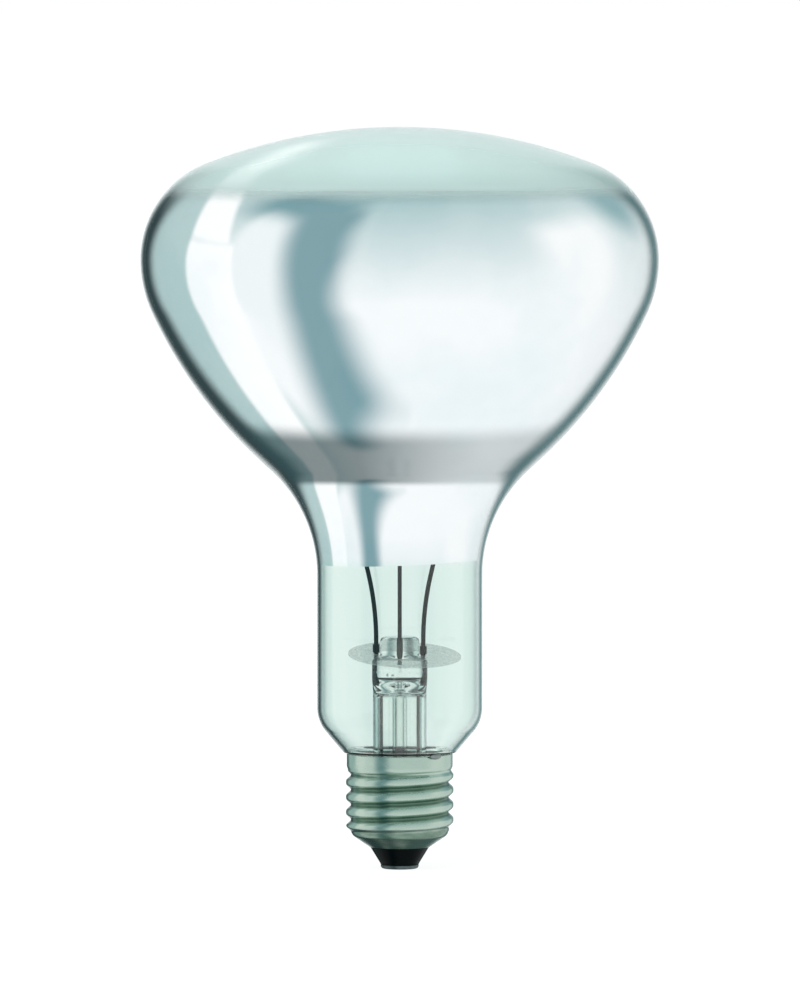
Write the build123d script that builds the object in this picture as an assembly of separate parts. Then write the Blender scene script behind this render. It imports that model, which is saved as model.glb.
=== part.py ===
from build123d import *
import math
import os

# Reflector heat lamp with a screw cap, standing on its centre contact with the dome up.
# Lengths are in millimetres and angles in degrees. Heights count from the contact face.
# The front of the lamp faces -Y, its left side is at -X.

# Centre contact and its solder
contact_diameter = 9.2
contact_thickness = 0.9
contact_edge_round = 0.7
solder_plug_diameter = 2.6
lead_end_height = 0.3

# Black insulator in the bottom of the cap
insulator_height = 4.4
insulator_bottom_margin = 0.1
insulator_waist_inset = 0.3
insulator_waist_share = 0.93
insulator_bore_diameter = 1.2

# Screw shell with the 27 mm thread
cap_height = 28.0
sheet_thickness = 0.3
thread_crest_diameter = 26.1
thread_depth = 1.2
thread_round = 1.3
thread_pitch = 3.629
thread_phase_height = 11.9
thread_fade = 1.5
thread_start_drop = 0.5
collar_diameter = 25.7
collar_height = 3.5
lip_diameter = 14.6
lip_angle = 34.0
bottom_turn_radius = 2.0

# Glass envelope
glass_wall = 1.0
bulb_diameter = 125.4
dome_radius = 129.0
rim_radius = 25.0
belly_radius = 31.0
belly_turn = 25.0
flank_slope = 47.0
throat_run = 4.8
throat_radius = 34.6
neck_diameter = 40.0
neck_length = 32.16
shoulder_slope = 40.0
shoulder_radius = 9.0
ledge_gap = 0.1
ledge_overhang = 0.05
ledge_inner_round = 0.3
seat_fillet = 0.8
seal_depth = 11.0

# Mirror film on the inner wall
film_gap = 0.1
film_thickness = 0.15
film_front_angle = 46.0
film_edge_rise = 3.4
film_edge_tilt = 2.0

# Glass stem
stem_diameter = 13.0
stem_wall = 1.0
stem_tube_length = 26.0
pinch_width = 13.4
pinch_thickness = 7.0
pinch_corner = 1.8
pinch_blend = 3.5
pinch_height = 4.5
post_sleeve_gap = 0.1
post_height = 5.4
post_edge_round = 1.2

# Exhaust tube and the port that leads from it into the bulb
exhaust_diameter = 3.6
exhaust_wall = 0.6
exhaust_tip_share = 0.5835
exhaust_tip_length = 4.0
exhaust_tip_round = 0.7
port_diameter = 1.6
port_rise = 2.6

# Lead wires
lead_spacing = 11.4
inner_lead_diameter = 1.1
inner_lead_embed = 3.0
inner_lead_straight = 4.4
inner_lead_bend_reach = 8.0
seal_wire_diameter = 0.8
seal_wire_tail = 16.0
seal_wire_spacing = 9.0
seal_wire_bend = 4.0
seal_wire_bend_drop = 1.0
outer_lead_diameter = 0.4
outer_lead_clearance = 0.1
outer_lead_spacing = 7.8
outer_lead_bend = 0.8
bend_clearance = 0.1
side_lead_angle = -50.0
side_lead_bend = 0.5
side_lead_overrun = 0.5

# Side solder mound on the rim of the cap
side_solder_width = 3.4
side_solder_depth = 1.5
side_solder_height = 1.6
side_solder_offset = 0.6
side_solder_rise = 0.05

# Cement between glass and cap
cement_height = 7.5
cement_top_share = 0.5

# Heat shield disc and the collars over it
disc_diameter = 27.4
disc_offset = 1.2
disc_thickness = 0.3
disc_front_tilt = 9.0
disc_side_tilt = 2.0
disc_hole_clearance = 0.3
disc_rest_gap = 0.02
collar_sleeve_diameter = 1.7
collar_sleeve_height = 2.0
collar_sleeve_gap = 0.05

# Filament and its support
filament_height = 102.0
filament_radius = 14.5
filament_diameter = 1.6
filament_tail_angle = 5.0
clamp_width = 2.8
clamp_height = 3.4
clamp_thickness = 1.0
clamp_round = 0.6
rod_diameter = 1.0
rod_embed = 6.6
rod_below_filament = 4.0
hook_angles = (45.0, 90.0, 135.0)
hook_diameter = 0.5
hook_clearance = 0.1
hook_top_margin = 0.6
hook_spacing = 0.7
hook_wrap = 280.0

# Largest gap at which two edges count as joined
join_gap = 1e-6

# Sizes that follow from the ones above, for the cap
contact_radius = contact_diameter / 2
thread_crest_radius = thread_crest_diameter / 2
thread_root_radius = thread_crest_radius - thread_depth
shell_bore_radius = thread_root_radius - sheet_thickness
collar_radius = collar_diameter / 2
collar_bore_radius = collar_radius - sheet_thickness
collar_step = collar_radius - thread_root_radius
collar_bottom = cap_height - collar_height
step_bottom = collar_bottom - collar_step
step_shift = sheet_thickness * math.tan(math.radians(22.5))
lip_radius = lip_diameter / 2
lip_turn = 90.0 - lip_angle
lip_level = contact_thickness + insulator_height
turn_centre_radius = thread_root_radius - bottom_turn_radius
turn_end_radius = turn_centre_radius + bottom_turn_radius * math.cos(math.radians(lip_turn))
turn_drop = bottom_turn_radius * math.sin(math.radians(lip_turn))
lip_drop = (turn_end_radius - lip_radius) * math.tan(math.radians(lip_angle))
wall_bottom = lip_level + turn_drop + lip_drop

# Sizes that follow, for the seat of the glass in the cap
outer_lead_radius = outer_lead_diameter / 2
lead_standoff = outer_lead_radius + outer_lead_clearance
seat_radius = shell_bore_radius - 2 * lead_standoff
slope_cosine = math.cos(math.radians(shoulder_slope))
slope_sine = math.sin(math.radians(shoulder_slope))
ledge_level = cap_height + ledge_gap
ledge_round = glass_wall + ledge_inner_round
ledge_centre_radius = collar_radius + ledge_overhang
ledge_end_radius = ledge_centre_radius + ledge_round * slope_cosine
ledge_end_height = ledge_level + ledge_round * (1 - slope_sine)
seat_top = ledge_level - seat_fillet
seal_level = cap_height - seal_depth
flare_bottom = seal_level - stem_wall

# Sizes that follow, for the neck and the bulb
neck_radius = neck_diameter / 2
bulb_radius = bulb_diameter / 2
shoulder_centre_radius = neck_radius - shoulder_radius
shoulder_start_radius = shoulder_centre_radius + shoulder_radius * slope_cosine
shoulder_rise = (shoulder_start_radius - ledge_end_radius) * slope_cosine / slope_sine
shoulder_start = ledge_end_height + shoulder_rise
neck_bottom = shoulder_start + shoulder_radius * slope_sine
neck_top = neck_bottom + neck_length
turn_cosine = math.cos(math.radians(belly_turn))
turn_sine = math.sin(math.radians(belly_turn))
flank_cosine = math.cos(math.radians(flank_slope))
flank_sine = math.sin(math.radians(flank_slope))
radial_rise = bulb_radius - neck_radius - throat_run * flank_sine
arc_rise = radial_rise - belly_radius * (1 - turn_cosine) - throat_radius * (1 - flank_cosine)
flank_radius = arc_rise / (turn_cosine - flank_cosine)
throat_top = neck_top + throat_radius * flank_sine
run_top = throat_top + throat_run * flank_cosine
flank_centre = run_top + flank_radius * flank_sine
flank_top = flank_centre - flank_radius * turn_sine
belly_level = flank_top + belly_radius * turn_sine
flank_centre_radius = bulb_radius - belly_radius * (1 - turn_cosine) - flank_radius * turn_cosine
rim_centre_radius = bulb_radius - rim_radius
dome_centre = belly_level - math.sqrt((dome_radius - rim_radius) ** 2 - rim_centre_radius ** 2)
dome_turn = math.degrees(math.atan2(belly_level - dome_centre, rim_centre_radius))
film_edge_level = neck_top + film_edge_rise

# Sizes that follow, for the stem and its wires
stem_radius = stem_diameter / 2
stem_bore_radius = stem_radius - stem_wall
flare_end_radius = seat_radius - glass_wall
flare_radius = flare_end_radius - stem_radius
tube_top = seal_level + stem_tube_length
pinch_bottom = tube_top + pinch_blend
pinch_top = pinch_bottom + pinch_height
post_top = pinch_top + post_height
exhaust_radius = exhaust_diameter / 2
exhaust_bore_radius = exhaust_radius - exhaust_wall
exhaust_tip_drop = exhaust_tip_share * (seal_level - wall_bottom)
exhaust_tip = seal_level - exhaust_tip_drop
lead_x = lead_spacing / 2
sleeve_radius = collar_sleeve_diameter / 2
post_radius = lead_x - sleeve_radius - post_sleeve_gap
inner_lead_radius = inner_lead_diameter / 2
inner_lead_bottom = pinch_top - inner_lead_embed
inner_lead_turn = pinch_top + inner_lead_straight + inner_lead_bend_reach
inner_lead_lean = math.atan2(filament_radius - lead_x, filament_height - inner_lead_turn)
inner_lead_bend = inner_lead_bend_reach / math.tan(inner_lead_lean / 2)
seal_wire_radius = seal_wire_diameter / 2
seal_wire_x = seal_wire_spacing / 2
seal_wire_bottom = tube_top - seal_wire_tail
outer_lead_x = outer_lead_spacing / 2
rod_radius = rod_diameter / 2
rod_top = filament_height - rod_below_filament
filament_wire_radius = filament_diameter / 2
hook_radius = hook_diameter / 2
hook_ring_radius = filament_wire_radius + hook_radius + hook_clearance

# Sizes that follow, for the heat shield disc
front_fall = math.tan(math.radians(disc_front_tilt))
side_fall = math.tan(math.radians(disc_side_tilt))
disc_rest = disc_rest_gap + disc_thickness / 2
disc_level = pinch_top + disc_rest + front_fall * pinch_thickness / 2 + side_fall * pinch_width / 2


def line(start, end):
    """Straight edge between two points given as radius and height."""
    return Line((start[0], 0, start[1]), (end[0], 0, end[1]))


def on_circle(centre, radius, angle):
    """Point of a circle in the plane of radius and height."""
    turn = math.radians(angle)
    across = centre[0] + radius * math.cos(turn)
    up = centre[1] + radius * math.sin(turn)
    return (round(across, 9), round(up, 9))


def arc(centre, radius, start, end):
    """Edge along a circle from one angle to another."""
    points = [on_circle(centre, radius, angle) for angle in (start, (start + end) / 2, end)]
    return ThreePointArc(*[(point[0], 0, point[1]) for point in points])


def polygon(points):
    """Row of straight edges through points given as radius and height."""
    return [line(start, end) for start, end in zip(points, points[1:])]


def bridged(edges):
    """Row of edges with a straight edge wherever two neighbours leave a gap."""
    row = [edges[0]]
    for edge in edges[1:]:
        if (row[-1] @ 1 - edge @ 0).length > join_gap:
            row.append(Line(row[-1] @ 1, edge @ 0))
        row.append(edge)
    return row


def turned(edges):
    """Solid of revolution round the lamp's axis from a row of edges, closed by a straight edge."""
    row = bridged(edges)
    if (row[-1] @ 1 - row[0] @ 0).length > join_gap:
        row.append(Line(row[-1] @ 1, row[0] @ 0))
    return revolve(make_face(Curve() + row), Axis.Z, 360)


def turned_wall(outer, inner):
    """Solid of revolution between two rows of edges that run the same way."""
    outer_row = bridged(outer)
    inner_row = bridged(inner)
    start_edge = Line(outer_row[0] @ 0, inner_row[0] @ 0)
    end_edge = Line(outer_row[-1] @ 1, inner_row[-1] @ 1)
    return revolve(make_face(Curve() + outer_row + inner_row + [start_edge, end_edge]), Axis.Z, 360)


def upright(radius, bottom, top, x=0.0, y=0.0):
    """Upright round bar between two heights."""
    return Pos(x, y, bottom) * extrude(Circle(radius), top - bottom)


def swept_wire(path, radius):
    """Round wire along a path."""
    return sweep(Plane(origin=path @ 0, z_dir=path % 0) * Circle(radius), path=path)


def neck_skin(inset):
    """Edges of the glass from the seal up to the neck's top, moved inwards."""
    seat = seat_radius - inset
    fillet_centre = (seat_radius + seat_fillet, seat_top)
    ledge_centre = (ledge_centre_radius, ledge_level + ledge_round)
    shoulder_centre = (shoulder_centre_radius, neck_bottom)
    return [
        line((seat, seal_level), (seat, seat_top)),
        arc(fillet_centre, seat_fillet + inset, 180, 90),
        arc(ledge_centre, ledge_round - inset, -90, -shoulder_slope),
        arc(shoulder_centre, shoulder_radius - inset, -shoulder_slope, 0),
        line((neck_radius - inset, neck_bottom), (neck_radius - inset, neck_top)),
    ]


def throat_skin(inset):
    """Edge of the hollow curve between neck and bulb, moved inwards."""
    return [arc((neck_radius + throat_radius, neck_top), throat_radius + inset, 180, 180 - flank_slope)]


def bulb_skin(inset, last_angle):
    """Edges of the bulb from the throat's top to an angle on the rim arc, moved inwards."""
    throat_centre = (neck_radius + throat_radius, neck_top)
    throat_end = on_circle(throat_centre, throat_radius + inset, 180 - flank_slope)
    flank_arc_centre = (flank_centre_radius, flank_centre)
    belly_centre = (bulb_radius - belly_radius, belly_level)
    rim_centre = (rim_centre_radius, belly_level)
    return [
        line(throat_end, on_circle(flank_arc_centre, flank_radius - inset, -flank_slope)),
        arc(flank_arc_centre, flank_radius - inset, -flank_slope, -belly_turn),
        arc(belly_centre, belly_radius - inset, -belly_turn, 0),
        arc(rim_centre, rim_radius - inset, 0, last_angle),
    ]


def dome_skin(inset):
    """Edges of the bulb from the throat's top over the rim to the apex, moved inwards."""
    return bulb_skin(inset, dome_turn) + [arc((0, dome_centre), dome_radius - inset, dome_turn, 90)]


def make_glass(skin):
    """One part of the glass wall between its outer and its inner skin."""
    return turned_wall(skin(0), skin(glass_wall))


def make_film():
    """Mirror film, cut off near the neck by a slightly tilted plane."""
    inset = glass_wall + film_gap
    outer = throat_skin(inset) + bulb_skin(inset, film_front_angle)
    inset = inset + film_thickness
    inner = throat_skin(inset) + bulb_skin(inset, film_front_angle)
    tilt = math.radians(film_edge_tilt)
    edge = Plane(origin=(0, 0, film_edge_level), z_dir=(-math.sin(tilt), 0, math.cos(tilt)))
    return split(turned_wall(outer, inner), bisect_by=edge, keep=Keep.TOP)


def shell_skin(inset):
    """Edges of the cap's sheet from the lip up to the rim, moved inwards."""
    turn_centre = (turn_centre_radius, wall_bottom)
    turn_radius = bottom_turn_radius - inset
    turn_end = on_circle(turn_centre, turn_radius, -lip_turn)
    lip_end = turn_end[1] - (turn_end[0] - lip_radius) * math.tan(math.radians(lip_angle))
    lift = step_shift * inset / sheet_thickness
    wall = [
        (thread_root_radius - inset, wall_bottom),
        (thread_root_radius - inset, step_bottom + lift),
        (collar_radius - inset, collar_bottom + lift),
        (collar_radius - inset, cap_height),
    ]
    return [
        line((lip_radius, lip_end), turn_end),
        arc(turn_centre, turn_radius, -lip_turn, 0),
        *polygon(wall),
    ]


def make_ridge():
    """Round thread ridge that rises out of the wall at its lower end."""
    bottom = wall_bottom - thread_start_drop
    path = Helix(thread_pitch, collar_bottom - bottom, thread_root_radius)
    crest_centre = thread_crest_radius - thread_round
    base = thread_root_radius - sheet_thickness / 2
    half_width = math.sqrt(thread_round ** 2 - (base - crest_centre) ** 2)
    crest = ThreePointArc((base, 0, -half_width), (thread_crest_radius, 0, 0), (base, 0, half_width))
    section = make_face(Curve() + [crest, Line(crest @ 1, crest @ 0)])
    ridge = sweep(section, path=path, is_frenet=True)
    start_angle = 360 * (bottom - thread_phase_height) / thread_pitch
    ridge = Pos(0, 0, bottom) * Rot(0, 0, start_angle) * ridge
    outside = thread_crest_radius + sheet_thickness
    window = polygon([
        (0, bottom),
        (base, bottom),
        (outside, bottom + thread_fade),
        (outside, collar_bottom),
        (0, collar_bottom),
    ])
    return ridge & turned(window)


def make_rim_slot():
    """Slot in the collar's rim through which the side lead leaves the cap."""
    width = 2 * lead_standoff
    bottom = cap_height - width
    top = cap_height + sheet_thickness
    middle_radius = collar_radius - sheet_thickness / 2
    slot = Box(3 * sheet_thickness, width, top - bottom)
    slot = Pos(middle_radius, 0, (bottom + top) / 2) * slot
    return Rot(0, 0, side_lead_angle) * slot


def make_shell():
    """Rolled metal shell of the cap, open at the rim and at the bottom lip."""
    outer = shell_skin(0)
    inner = shell_skin(sheet_thickness)
    above = cap_height + sheet_thickness
    below = lip_level - sheet_thickness
    floor = polygon([(0, lip_level), (lip_radius, lip_level)])
    body = turned(floor + outer + polygon([(collar_radius, cap_height), (0, cap_height)]))
    mouth = polygon([(0, below), (lip_radius, below)])
    inside = turned(mouth + inner + polygon([(collar_bore_radius, above), (0, above)]))
    return body + make_ridge() - inside - make_rim_slot()


def make_insulator():
    """Black glass that carries the contact and fills the bottom of the shell."""
    bore = insulator_bore_diameter / 2
    waist_level = contact_thickness + insulator_height * insulator_waist_share
    below = polygon([
        (bore, contact_thickness),
        (contact_radius + insulator_bottom_margin, contact_thickness),
        (lip_radius - insulator_waist_inset, waist_level),
        (lip_radius, lip_level),
    ])
    against_shell = shell_skin(sheet_thickness)[:2]
    top = polygon([(shell_bore_radius, wall_bottom), (bore, wall_bottom)])
    return turned(below + against_shell + top)


def make_contact():
    """Contact plate with a rounded lower edge and a hole for the solder."""
    plug = solder_plug_diameter / 2
    flat = contact_radius - contact_edge_round
    return turned([
        line((plug, 0), (flat, 0)),
        arc((flat, contact_edge_round), contact_edge_round, -90, 0),
        *polygon([(contact_radius, contact_edge_round), (contact_radius, contact_thickness)]),
        line((contact_radius, contact_thickness), (plug, contact_thickness)),
    ])


def make_centre_solder(lead):
    """Solder that fills the plate's hole round the end of the lead."""
    return upright(solder_plug_diameter / 2, 0, contact_thickness) - lead


def make_inner_lead(side, filament):
    """Thick lead from the pinch to the filament, flattened at its top round the filament's end."""
    path = FilletPolyline(
        (side * lead_x, 0, inner_lead_bottom),
        (side * lead_x, 0, inner_lead_turn),
        (side * filament_radius, 0, filament_height),
        radius=inner_lead_bend,
    )
    clamp = Box(clamp_width, clamp_thickness, clamp_height)
    clamp = fillet(clamp.edges().filter_by(Axis.Y), clamp_round)
    clamp = Pos(side * filament_radius, 0, filament_height) * clamp
    return swept_wire(path, inner_lead_radius) + clamp - filament


def make_seal_wire(side, inner_lead):
    """Wire through the pinch, joined end to end with the inner lead."""
    path = FilletPolyline(
        (side * seal_wire_x, 0, seal_wire_bottom),
        (side * seal_wire_x, 0, tube_top - seal_wire_bend_drop),
        (side * lead_x, 0, inner_lead_bottom),
        radius=seal_wire_bend,
    )
    return swept_wire(path, seal_wire_radius) - inner_lead


def make_centre_lead(seal_wire):
    """Thin wire down the stem, past the tip of the exhaust tube and through the insulator."""
    turn_level = (exhaust_tip + wall_bottom) / 2
    path = FilletPolyline(
        (-seal_wire_x, 0, seal_wire_bottom),
        (-outer_lead_x, 0, turn_level + outer_lead_x),
        (0, 0, turn_level),
        (0, 0, lead_end_height),
        radius=outer_lead_bend,
    )
    return swept_wire(path, outer_lead_radius) - seal_wire


def make_side_lead(seal_wire):
    """Thin wire down the stem, under the seal, up between glass and shell and out through the rim."""
    turn = math.radians(side_lead_angle)
    run_level = flare_bottom - outer_lead_bend - bend_clearance
    wall_radius = shell_bore_radius - lead_standoff
    exit_level = cap_height - lead_standoff
    outer_points = [
        (wall_radius, run_level),
        (wall_radius, exit_level),
        (collar_radius + side_lead_overrun, exit_level),
    ]
    path = FilletPolyline(
        (seal_wire_x, 0, seal_wire_bottom),
        (outer_lead_x, 0, run_level),
        *[(radius * math.cos(turn), radius * math.sin(turn), level) for radius, level in outer_points],
        radius=(outer_lead_bend, outer_lead_bend, side_lead_bend),
    )
    return swept_wire(path, outer_lead_radius) - seal_wire


def make_rod():
    """Straight wire that stands in the glass post."""
    return upright(rod_radius, post_top - rod_embed, rod_top)


def make_stem(embedded):
    """Flare, tube, pinch and post in one piece of glass, moulded round the wires."""
    flare_centre = (flare_end_radius, seal_level + flare_radius)
    outer = [
        line((seat_radius, seal_level), (flare_end_radius, seal_level)),
        arc(flare_centre, flare_radius, -90, -180),
        line((stem_radius, seal_level + flare_radius), (stem_radius, tube_top)),
    ]
    inner = [
        line((seat_radius, flare_bottom), (flare_end_radius, flare_bottom)),
        arc(flare_centre, flare_radius + stem_wall, -90, -180),
        line((stem_bore_radius, seal_level + flare_radius), (stem_bore_radius, tube_top)),
    ]
    flat = RectangleRounded(pinch_width, pinch_thickness, pinch_corner)
    blend = loft([Pos(0, 0, tube_top) * Circle(stem_radius), Pos(0, 0, pinch_bottom) * flat])
    pinch = Pos(0, 0, pinch_bottom) * extrude(flat, pinch_height)
    post = turned([
        *polygon([(0, pinch_top), (post_radius, pinch_top), (post_radius, post_top - post_edge_round)]),
        arc((post_radius - post_edge_round, post_top - post_edge_round), post_edge_round, 0, 90),
        *polygon([(post_radius - post_edge_round, post_top), (0, post_top)]),
    ])
    port_radius = port_diameter / 2
    port = upright(port_radius, tube_top, tube_top + port_rise)
    port_way = Pos(0, 0, tube_top + port_rise - port_radius) * Rot(-90, 0, 0)
    port = port + port_way * extrude(Circle(port_radius), stem_radius)
    stem = turned_wall(outer, inner) + blend + pinch + post - port
    for wire in embedded:
        stem = stem - wire
    return stem


def make_exhaust():
    """Glass tube on the stem's axis, drawn out to a closed tip."""
    shoulder = exhaust_tip + exhaust_tip_length
    tip_centre = (0, exhaust_tip + exhaust_tip_round)
    outer = [
        line((exhaust_radius, tube_top), (exhaust_radius, shoulder)),
        line((exhaust_radius, shoulder), (exhaust_tip_round, tip_centre[1])),
        arc(tip_centre, exhaust_tip_round, 0, -90),
    ]
    inner = polygon([
        (exhaust_bore_radius, tube_top),
        (exhaust_bore_radius, shoulder),
        (0, tip_centre[1] + exhaust_wall),
    ])
    return turned_wall(outer, inner)


def make_filament():
    """Arc that the coiled wire fills, a little longer than the half circle between the leads."""
    sweep_angle = 180 + 2 * filament_tail_angle
    path = CenterArc((0, 0, filament_height), filament_radius, -filament_tail_angle, sweep_angle)
    return swept_wire(path, filament_wire_radius)


def make_hook(number, rod):
    """Thin wire from the rod that ends in an open loop round the filament."""
    turn = math.radians(hook_angles[number])
    start_level = rod_top - hook_top_margin - number * hook_spacing
    rise = filament_height - start_level
    reach = math.hypot(filament_radius, rise)
    lean = math.atan2(rise, filament_radius) - math.asin(hook_ring_radius / reach)
    first_angle = math.degrees(lean) - 90
    loop_angles = (first_angle, first_angle + hook_wrap / 2, first_angle + hook_wrap)
    loop_centre = (filament_radius, filament_height)
    flat_points = [(0, start_level)]
    flat_points += [on_circle(loop_centre, hook_ring_radius, angle) for angle in loop_angles]
    start, touch, middle, tip = [
        (across * math.cos(turn), across * math.sin(turn), up) for across, up in flat_points
    ]
    hook_path = Wire([Line(start, touch), ThreePointArc(touch, middle, tip)])
    return swept_wire(hook_path, hook_radius) - rod


def make_disc():
    """Thin tilted disc with one opening for the post and the two leads."""
    centre = (disc_offset, 0, disc_level - side_fall * disc_offset)
    rest = Plane(origin=centre, z_dir=(side_fall, -front_fall, 1))
    disc = rest * Cylinder(disc_diameter / 2, disc_thickness)
    low = pinch_top - disc_diameter
    high = pinch_top + disc_diameter
    disc = disc - upright(post_radius + disc_hole_clearance, low, high)
    for side in (-1, 1):
        disc = disc - upright(inner_lead_radius + disc_hole_clearance, low, high, side * lead_x)
    return disc


def make_sleeve(side):
    """Small collar pressed on a lead just over the disc."""
    over_disc = disc_thickness / 2 + (front_fall + side_fall) * sleeve_radius + collar_sleeve_gap
    bottom = disc_level - side * side_fall * lead_x + over_disc
    top = bottom + collar_sleeve_height
    sleeve = upright(sleeve_radius, bottom, top, side * lead_x)
    return sleeve - upright(inner_lead_radius, bottom, top, side * lead_x)


def make_cement(lead):
    """Ring of cement between glass and shell with a channel for the side lead."""
    fillet_centre = (seat_radius + seat_fillet, seat_top)
    last_angle = 180 - 90 * cement_top_share
    top_radius, top_level = on_circle(fillet_centre, seat_fillet, last_angle)
    bottom = seat_top - cement_height
    ring = turned([
        line((seat_radius, bottom), (seat_radius, seat_top)),
        arc(fillet_centre, seat_fillet, 180, last_angle),
        *polygon([
            (top_radius, top_level),
            (collar_bore_radius, top_level),
            (collar_bore_radius, collar_bottom + step_shift),
            (shell_bore_radius, step_bottom + step_shift),
            (shell_bore_radius, bottom),
        ]),
    ])
    return ring - lead


def make_side_solder(neighbours):
    """Solder mound on the rim, cut back to the pieces that it lies against."""
    sizes = (side_solder_depth / 2, side_solder_width / 2, side_solder_height / 2)
    mound = scale(Sphere(1), by=sizes)
    mound = Pos(collar_radius + side_solder_offset, 0, cap_height + side_solder_rise) * mound
    mound = Rot(0, 0, side_lead_angle) * mound
    for neighbour in neighbours:
        mound = mound - neighbour
    return mound


def make_all():
    """Every piece of the lamp by its node name."""
    pieces = {}
    pieces["glass_neck"] = make_glass(neck_skin)
    pieces["glass_throat"] = make_glass(throat_skin)
    pieces["glass_bulb"] = make_glass(dome_skin)
    pieces["mirror_coating"] = make_film()
    pieces["screw_shell"] = make_shell()
    pieces["cap_insulator"] = make_insulator()
    pieces["centre_contact"] = make_contact()
    pieces["filament"] = make_filament()
    for side, name in ((-1, "left"), (1, "right")):
        inner_lead = make_inner_lead(side, pieces["filament"])
        pieces["inner_lead_" + name] = inner_lead
        pieces["seal_wire_" + name] = make_seal_wire(side, inner_lead)
        pieces["disc_collar_" + name] = make_sleeve(side)
    pieces["outer_lead_centre"] = make_centre_lead(pieces["seal_wire_left"])
    pieces["outer_lead_side"] = make_side_lead(pieces["seal_wire_right"])
    pieces["support_rod"] = make_rod()
    for number in range(len(hook_angles)):
        pieces[f"support_hook_{number + 1}"] = make_hook(number, pieces["support_rod"])
    embedded = ["inner_lead_left", "inner_lead_right", "seal_wire_left", "seal_wire_right", "support_rod"]
    pieces["glass_stem"] = make_stem([pieces[name] for name in embedded])
    pieces["exhaust_tube"] = make_exhaust()
    pieces["heat_shield_disc"] = make_disc()
    pieces["centre_solder"] = make_centre_solder(pieces["outer_lead_centre"])
    pieces["cap_cement"] = make_cement(pieces["outer_lead_side"])
    touching = ["screw_shell", "glass_neck", "outer_lead_side"]
    pieces["side_solder"] = make_side_solder([pieces[name] for name in touching])
    return pieces


os.makedirs("parts", exist_ok=True)
for node, shape in make_all().items():
    export_step(shape, f"parts/{node}.step")
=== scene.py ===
"""Reflector heat lamp: glass, mirror film, mount, screw cap and studio round the packed CAD frame."""

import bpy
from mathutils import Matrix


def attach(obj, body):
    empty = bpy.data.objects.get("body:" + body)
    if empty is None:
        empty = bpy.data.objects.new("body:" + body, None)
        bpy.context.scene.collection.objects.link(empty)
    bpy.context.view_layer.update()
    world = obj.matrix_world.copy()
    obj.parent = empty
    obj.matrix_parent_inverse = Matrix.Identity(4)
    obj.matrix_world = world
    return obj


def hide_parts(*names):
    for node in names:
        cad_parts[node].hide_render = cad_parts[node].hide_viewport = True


bl_info = {
    "name": "Reflector heat lamp",
    "version": (1, 0, 0),
    "blender": (4, 5, 0),
    "location": "View3D > Sidebar > Heat lamp",
    "description": "Builds a reflector heat lamp with a screw cap round its packed CAD frame",
    "category": "Object",
}

import math
from collections import namedtuple

import bmesh
import bpy
import numpy as np
from mathutils import Vector

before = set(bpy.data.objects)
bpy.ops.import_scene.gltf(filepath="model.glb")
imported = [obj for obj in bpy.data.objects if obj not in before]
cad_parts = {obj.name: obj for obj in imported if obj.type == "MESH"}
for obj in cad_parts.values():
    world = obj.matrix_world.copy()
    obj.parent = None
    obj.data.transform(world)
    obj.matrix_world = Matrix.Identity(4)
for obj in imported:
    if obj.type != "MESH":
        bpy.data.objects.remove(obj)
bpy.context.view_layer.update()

MILLIMETRE = 0.001
FULL_TURN = 2 * math.pi
AXIS_LIMIT = 1e-7
MERGE_DISTANCE = 2e-6
SHARP_ANGLE = math.radians(38)

# Steps of the turned and wound shapes
ROUND_STEPS = 160
STEM_STEPS = 96
HOLLOW_STEPS = 48
BASE_STEPS = 96
FILM_STEPS = 30
EDGE_PASSES = 12
COIL_POINTS = 14
WIRE_SIDES = 7

# Small shapes of the stem. The powers make its rings an ellipse or a rounded rectangle.
ROUND_POWER = 2.0
PINCH_POWER = 5.0
PRESS_MARK = 0.16 * MILLIMETRE
PRESS_SPACING = 3.5
POST_ROUND = 1.2 * MILLIMETRE
PINCH_ROUND = 0.7 * MILLIMETRE
FOOT_ROUND = 0.9 * MILLIMETRE
INNER_ROUND = 1.4 * MILLIMETRE
TIP_ROUND = 0.7 * MILLIMETRE
HOLLOW_TIP = 1.5 * MILLIMETRE
HOLLOW_RISE = 1.8 * MILLIMETRE
HOLLOW_ROUND = 1.0 * MILLIMETRE
PINCH_MARGIN = 1.3 * MILLIMETRE
BUBBLE_DEPTH = 1.0 * MILLIMETRE
BUBBLE_LEAST = (0.5, 0.3, 0.22)
BUBBLE_MOST = (2.1, 0.8, 0.62)
BUBBLE_SEED = 7
BUBBLE_DETAIL = 2

# Small shapes of the cap
RIDGE_POWER = 1.7
STEP_ROUND = 0.5 * MILLIMETRE

# Finishes
NOISE_RANGE = (0.3, 0.7)
MIX_INPUTS = (0, 6, 7)
MIX_RESULT = 2
WHITE = (1.0, 1.0, 1.0)
GLASS_IOR = 1.5
MICA_IOR = 1.56
FILM_FADE = 2.0 * MILLIMETRE
FRONT_EDGE = 8.0 * MILLIMETRE
MILKINESS = 0.35
FROST = 0.1
# Heights over which the painted shade on the cap's lower skirt fades out
SKIRT_SHADE_LEVELS = (9.0 * MILLIMETRE, 12.5 * MILLIMETRE)
SMEAR_SHARE = 0.35
FINE_GRAIN = 4.0
WEAR = 0.25
FLOOR_GRAIN = 1.04

# Clear front of the bulb: levels between which the film lies behind the glass, and the front's tints
Front = namedtuple("Front", "low high edge_tint tint")


def paint(red, green, blue):
    """Linear colour from the 0 to 255 values of a screen colour."""
    def linear(value):
        share = value / 255
        return share / 12.92 if share <= 0.04045 else ((share + 0.055) / 1.055) ** 2.4
    return (linear(red), linear(green), linear(blue))


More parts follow.
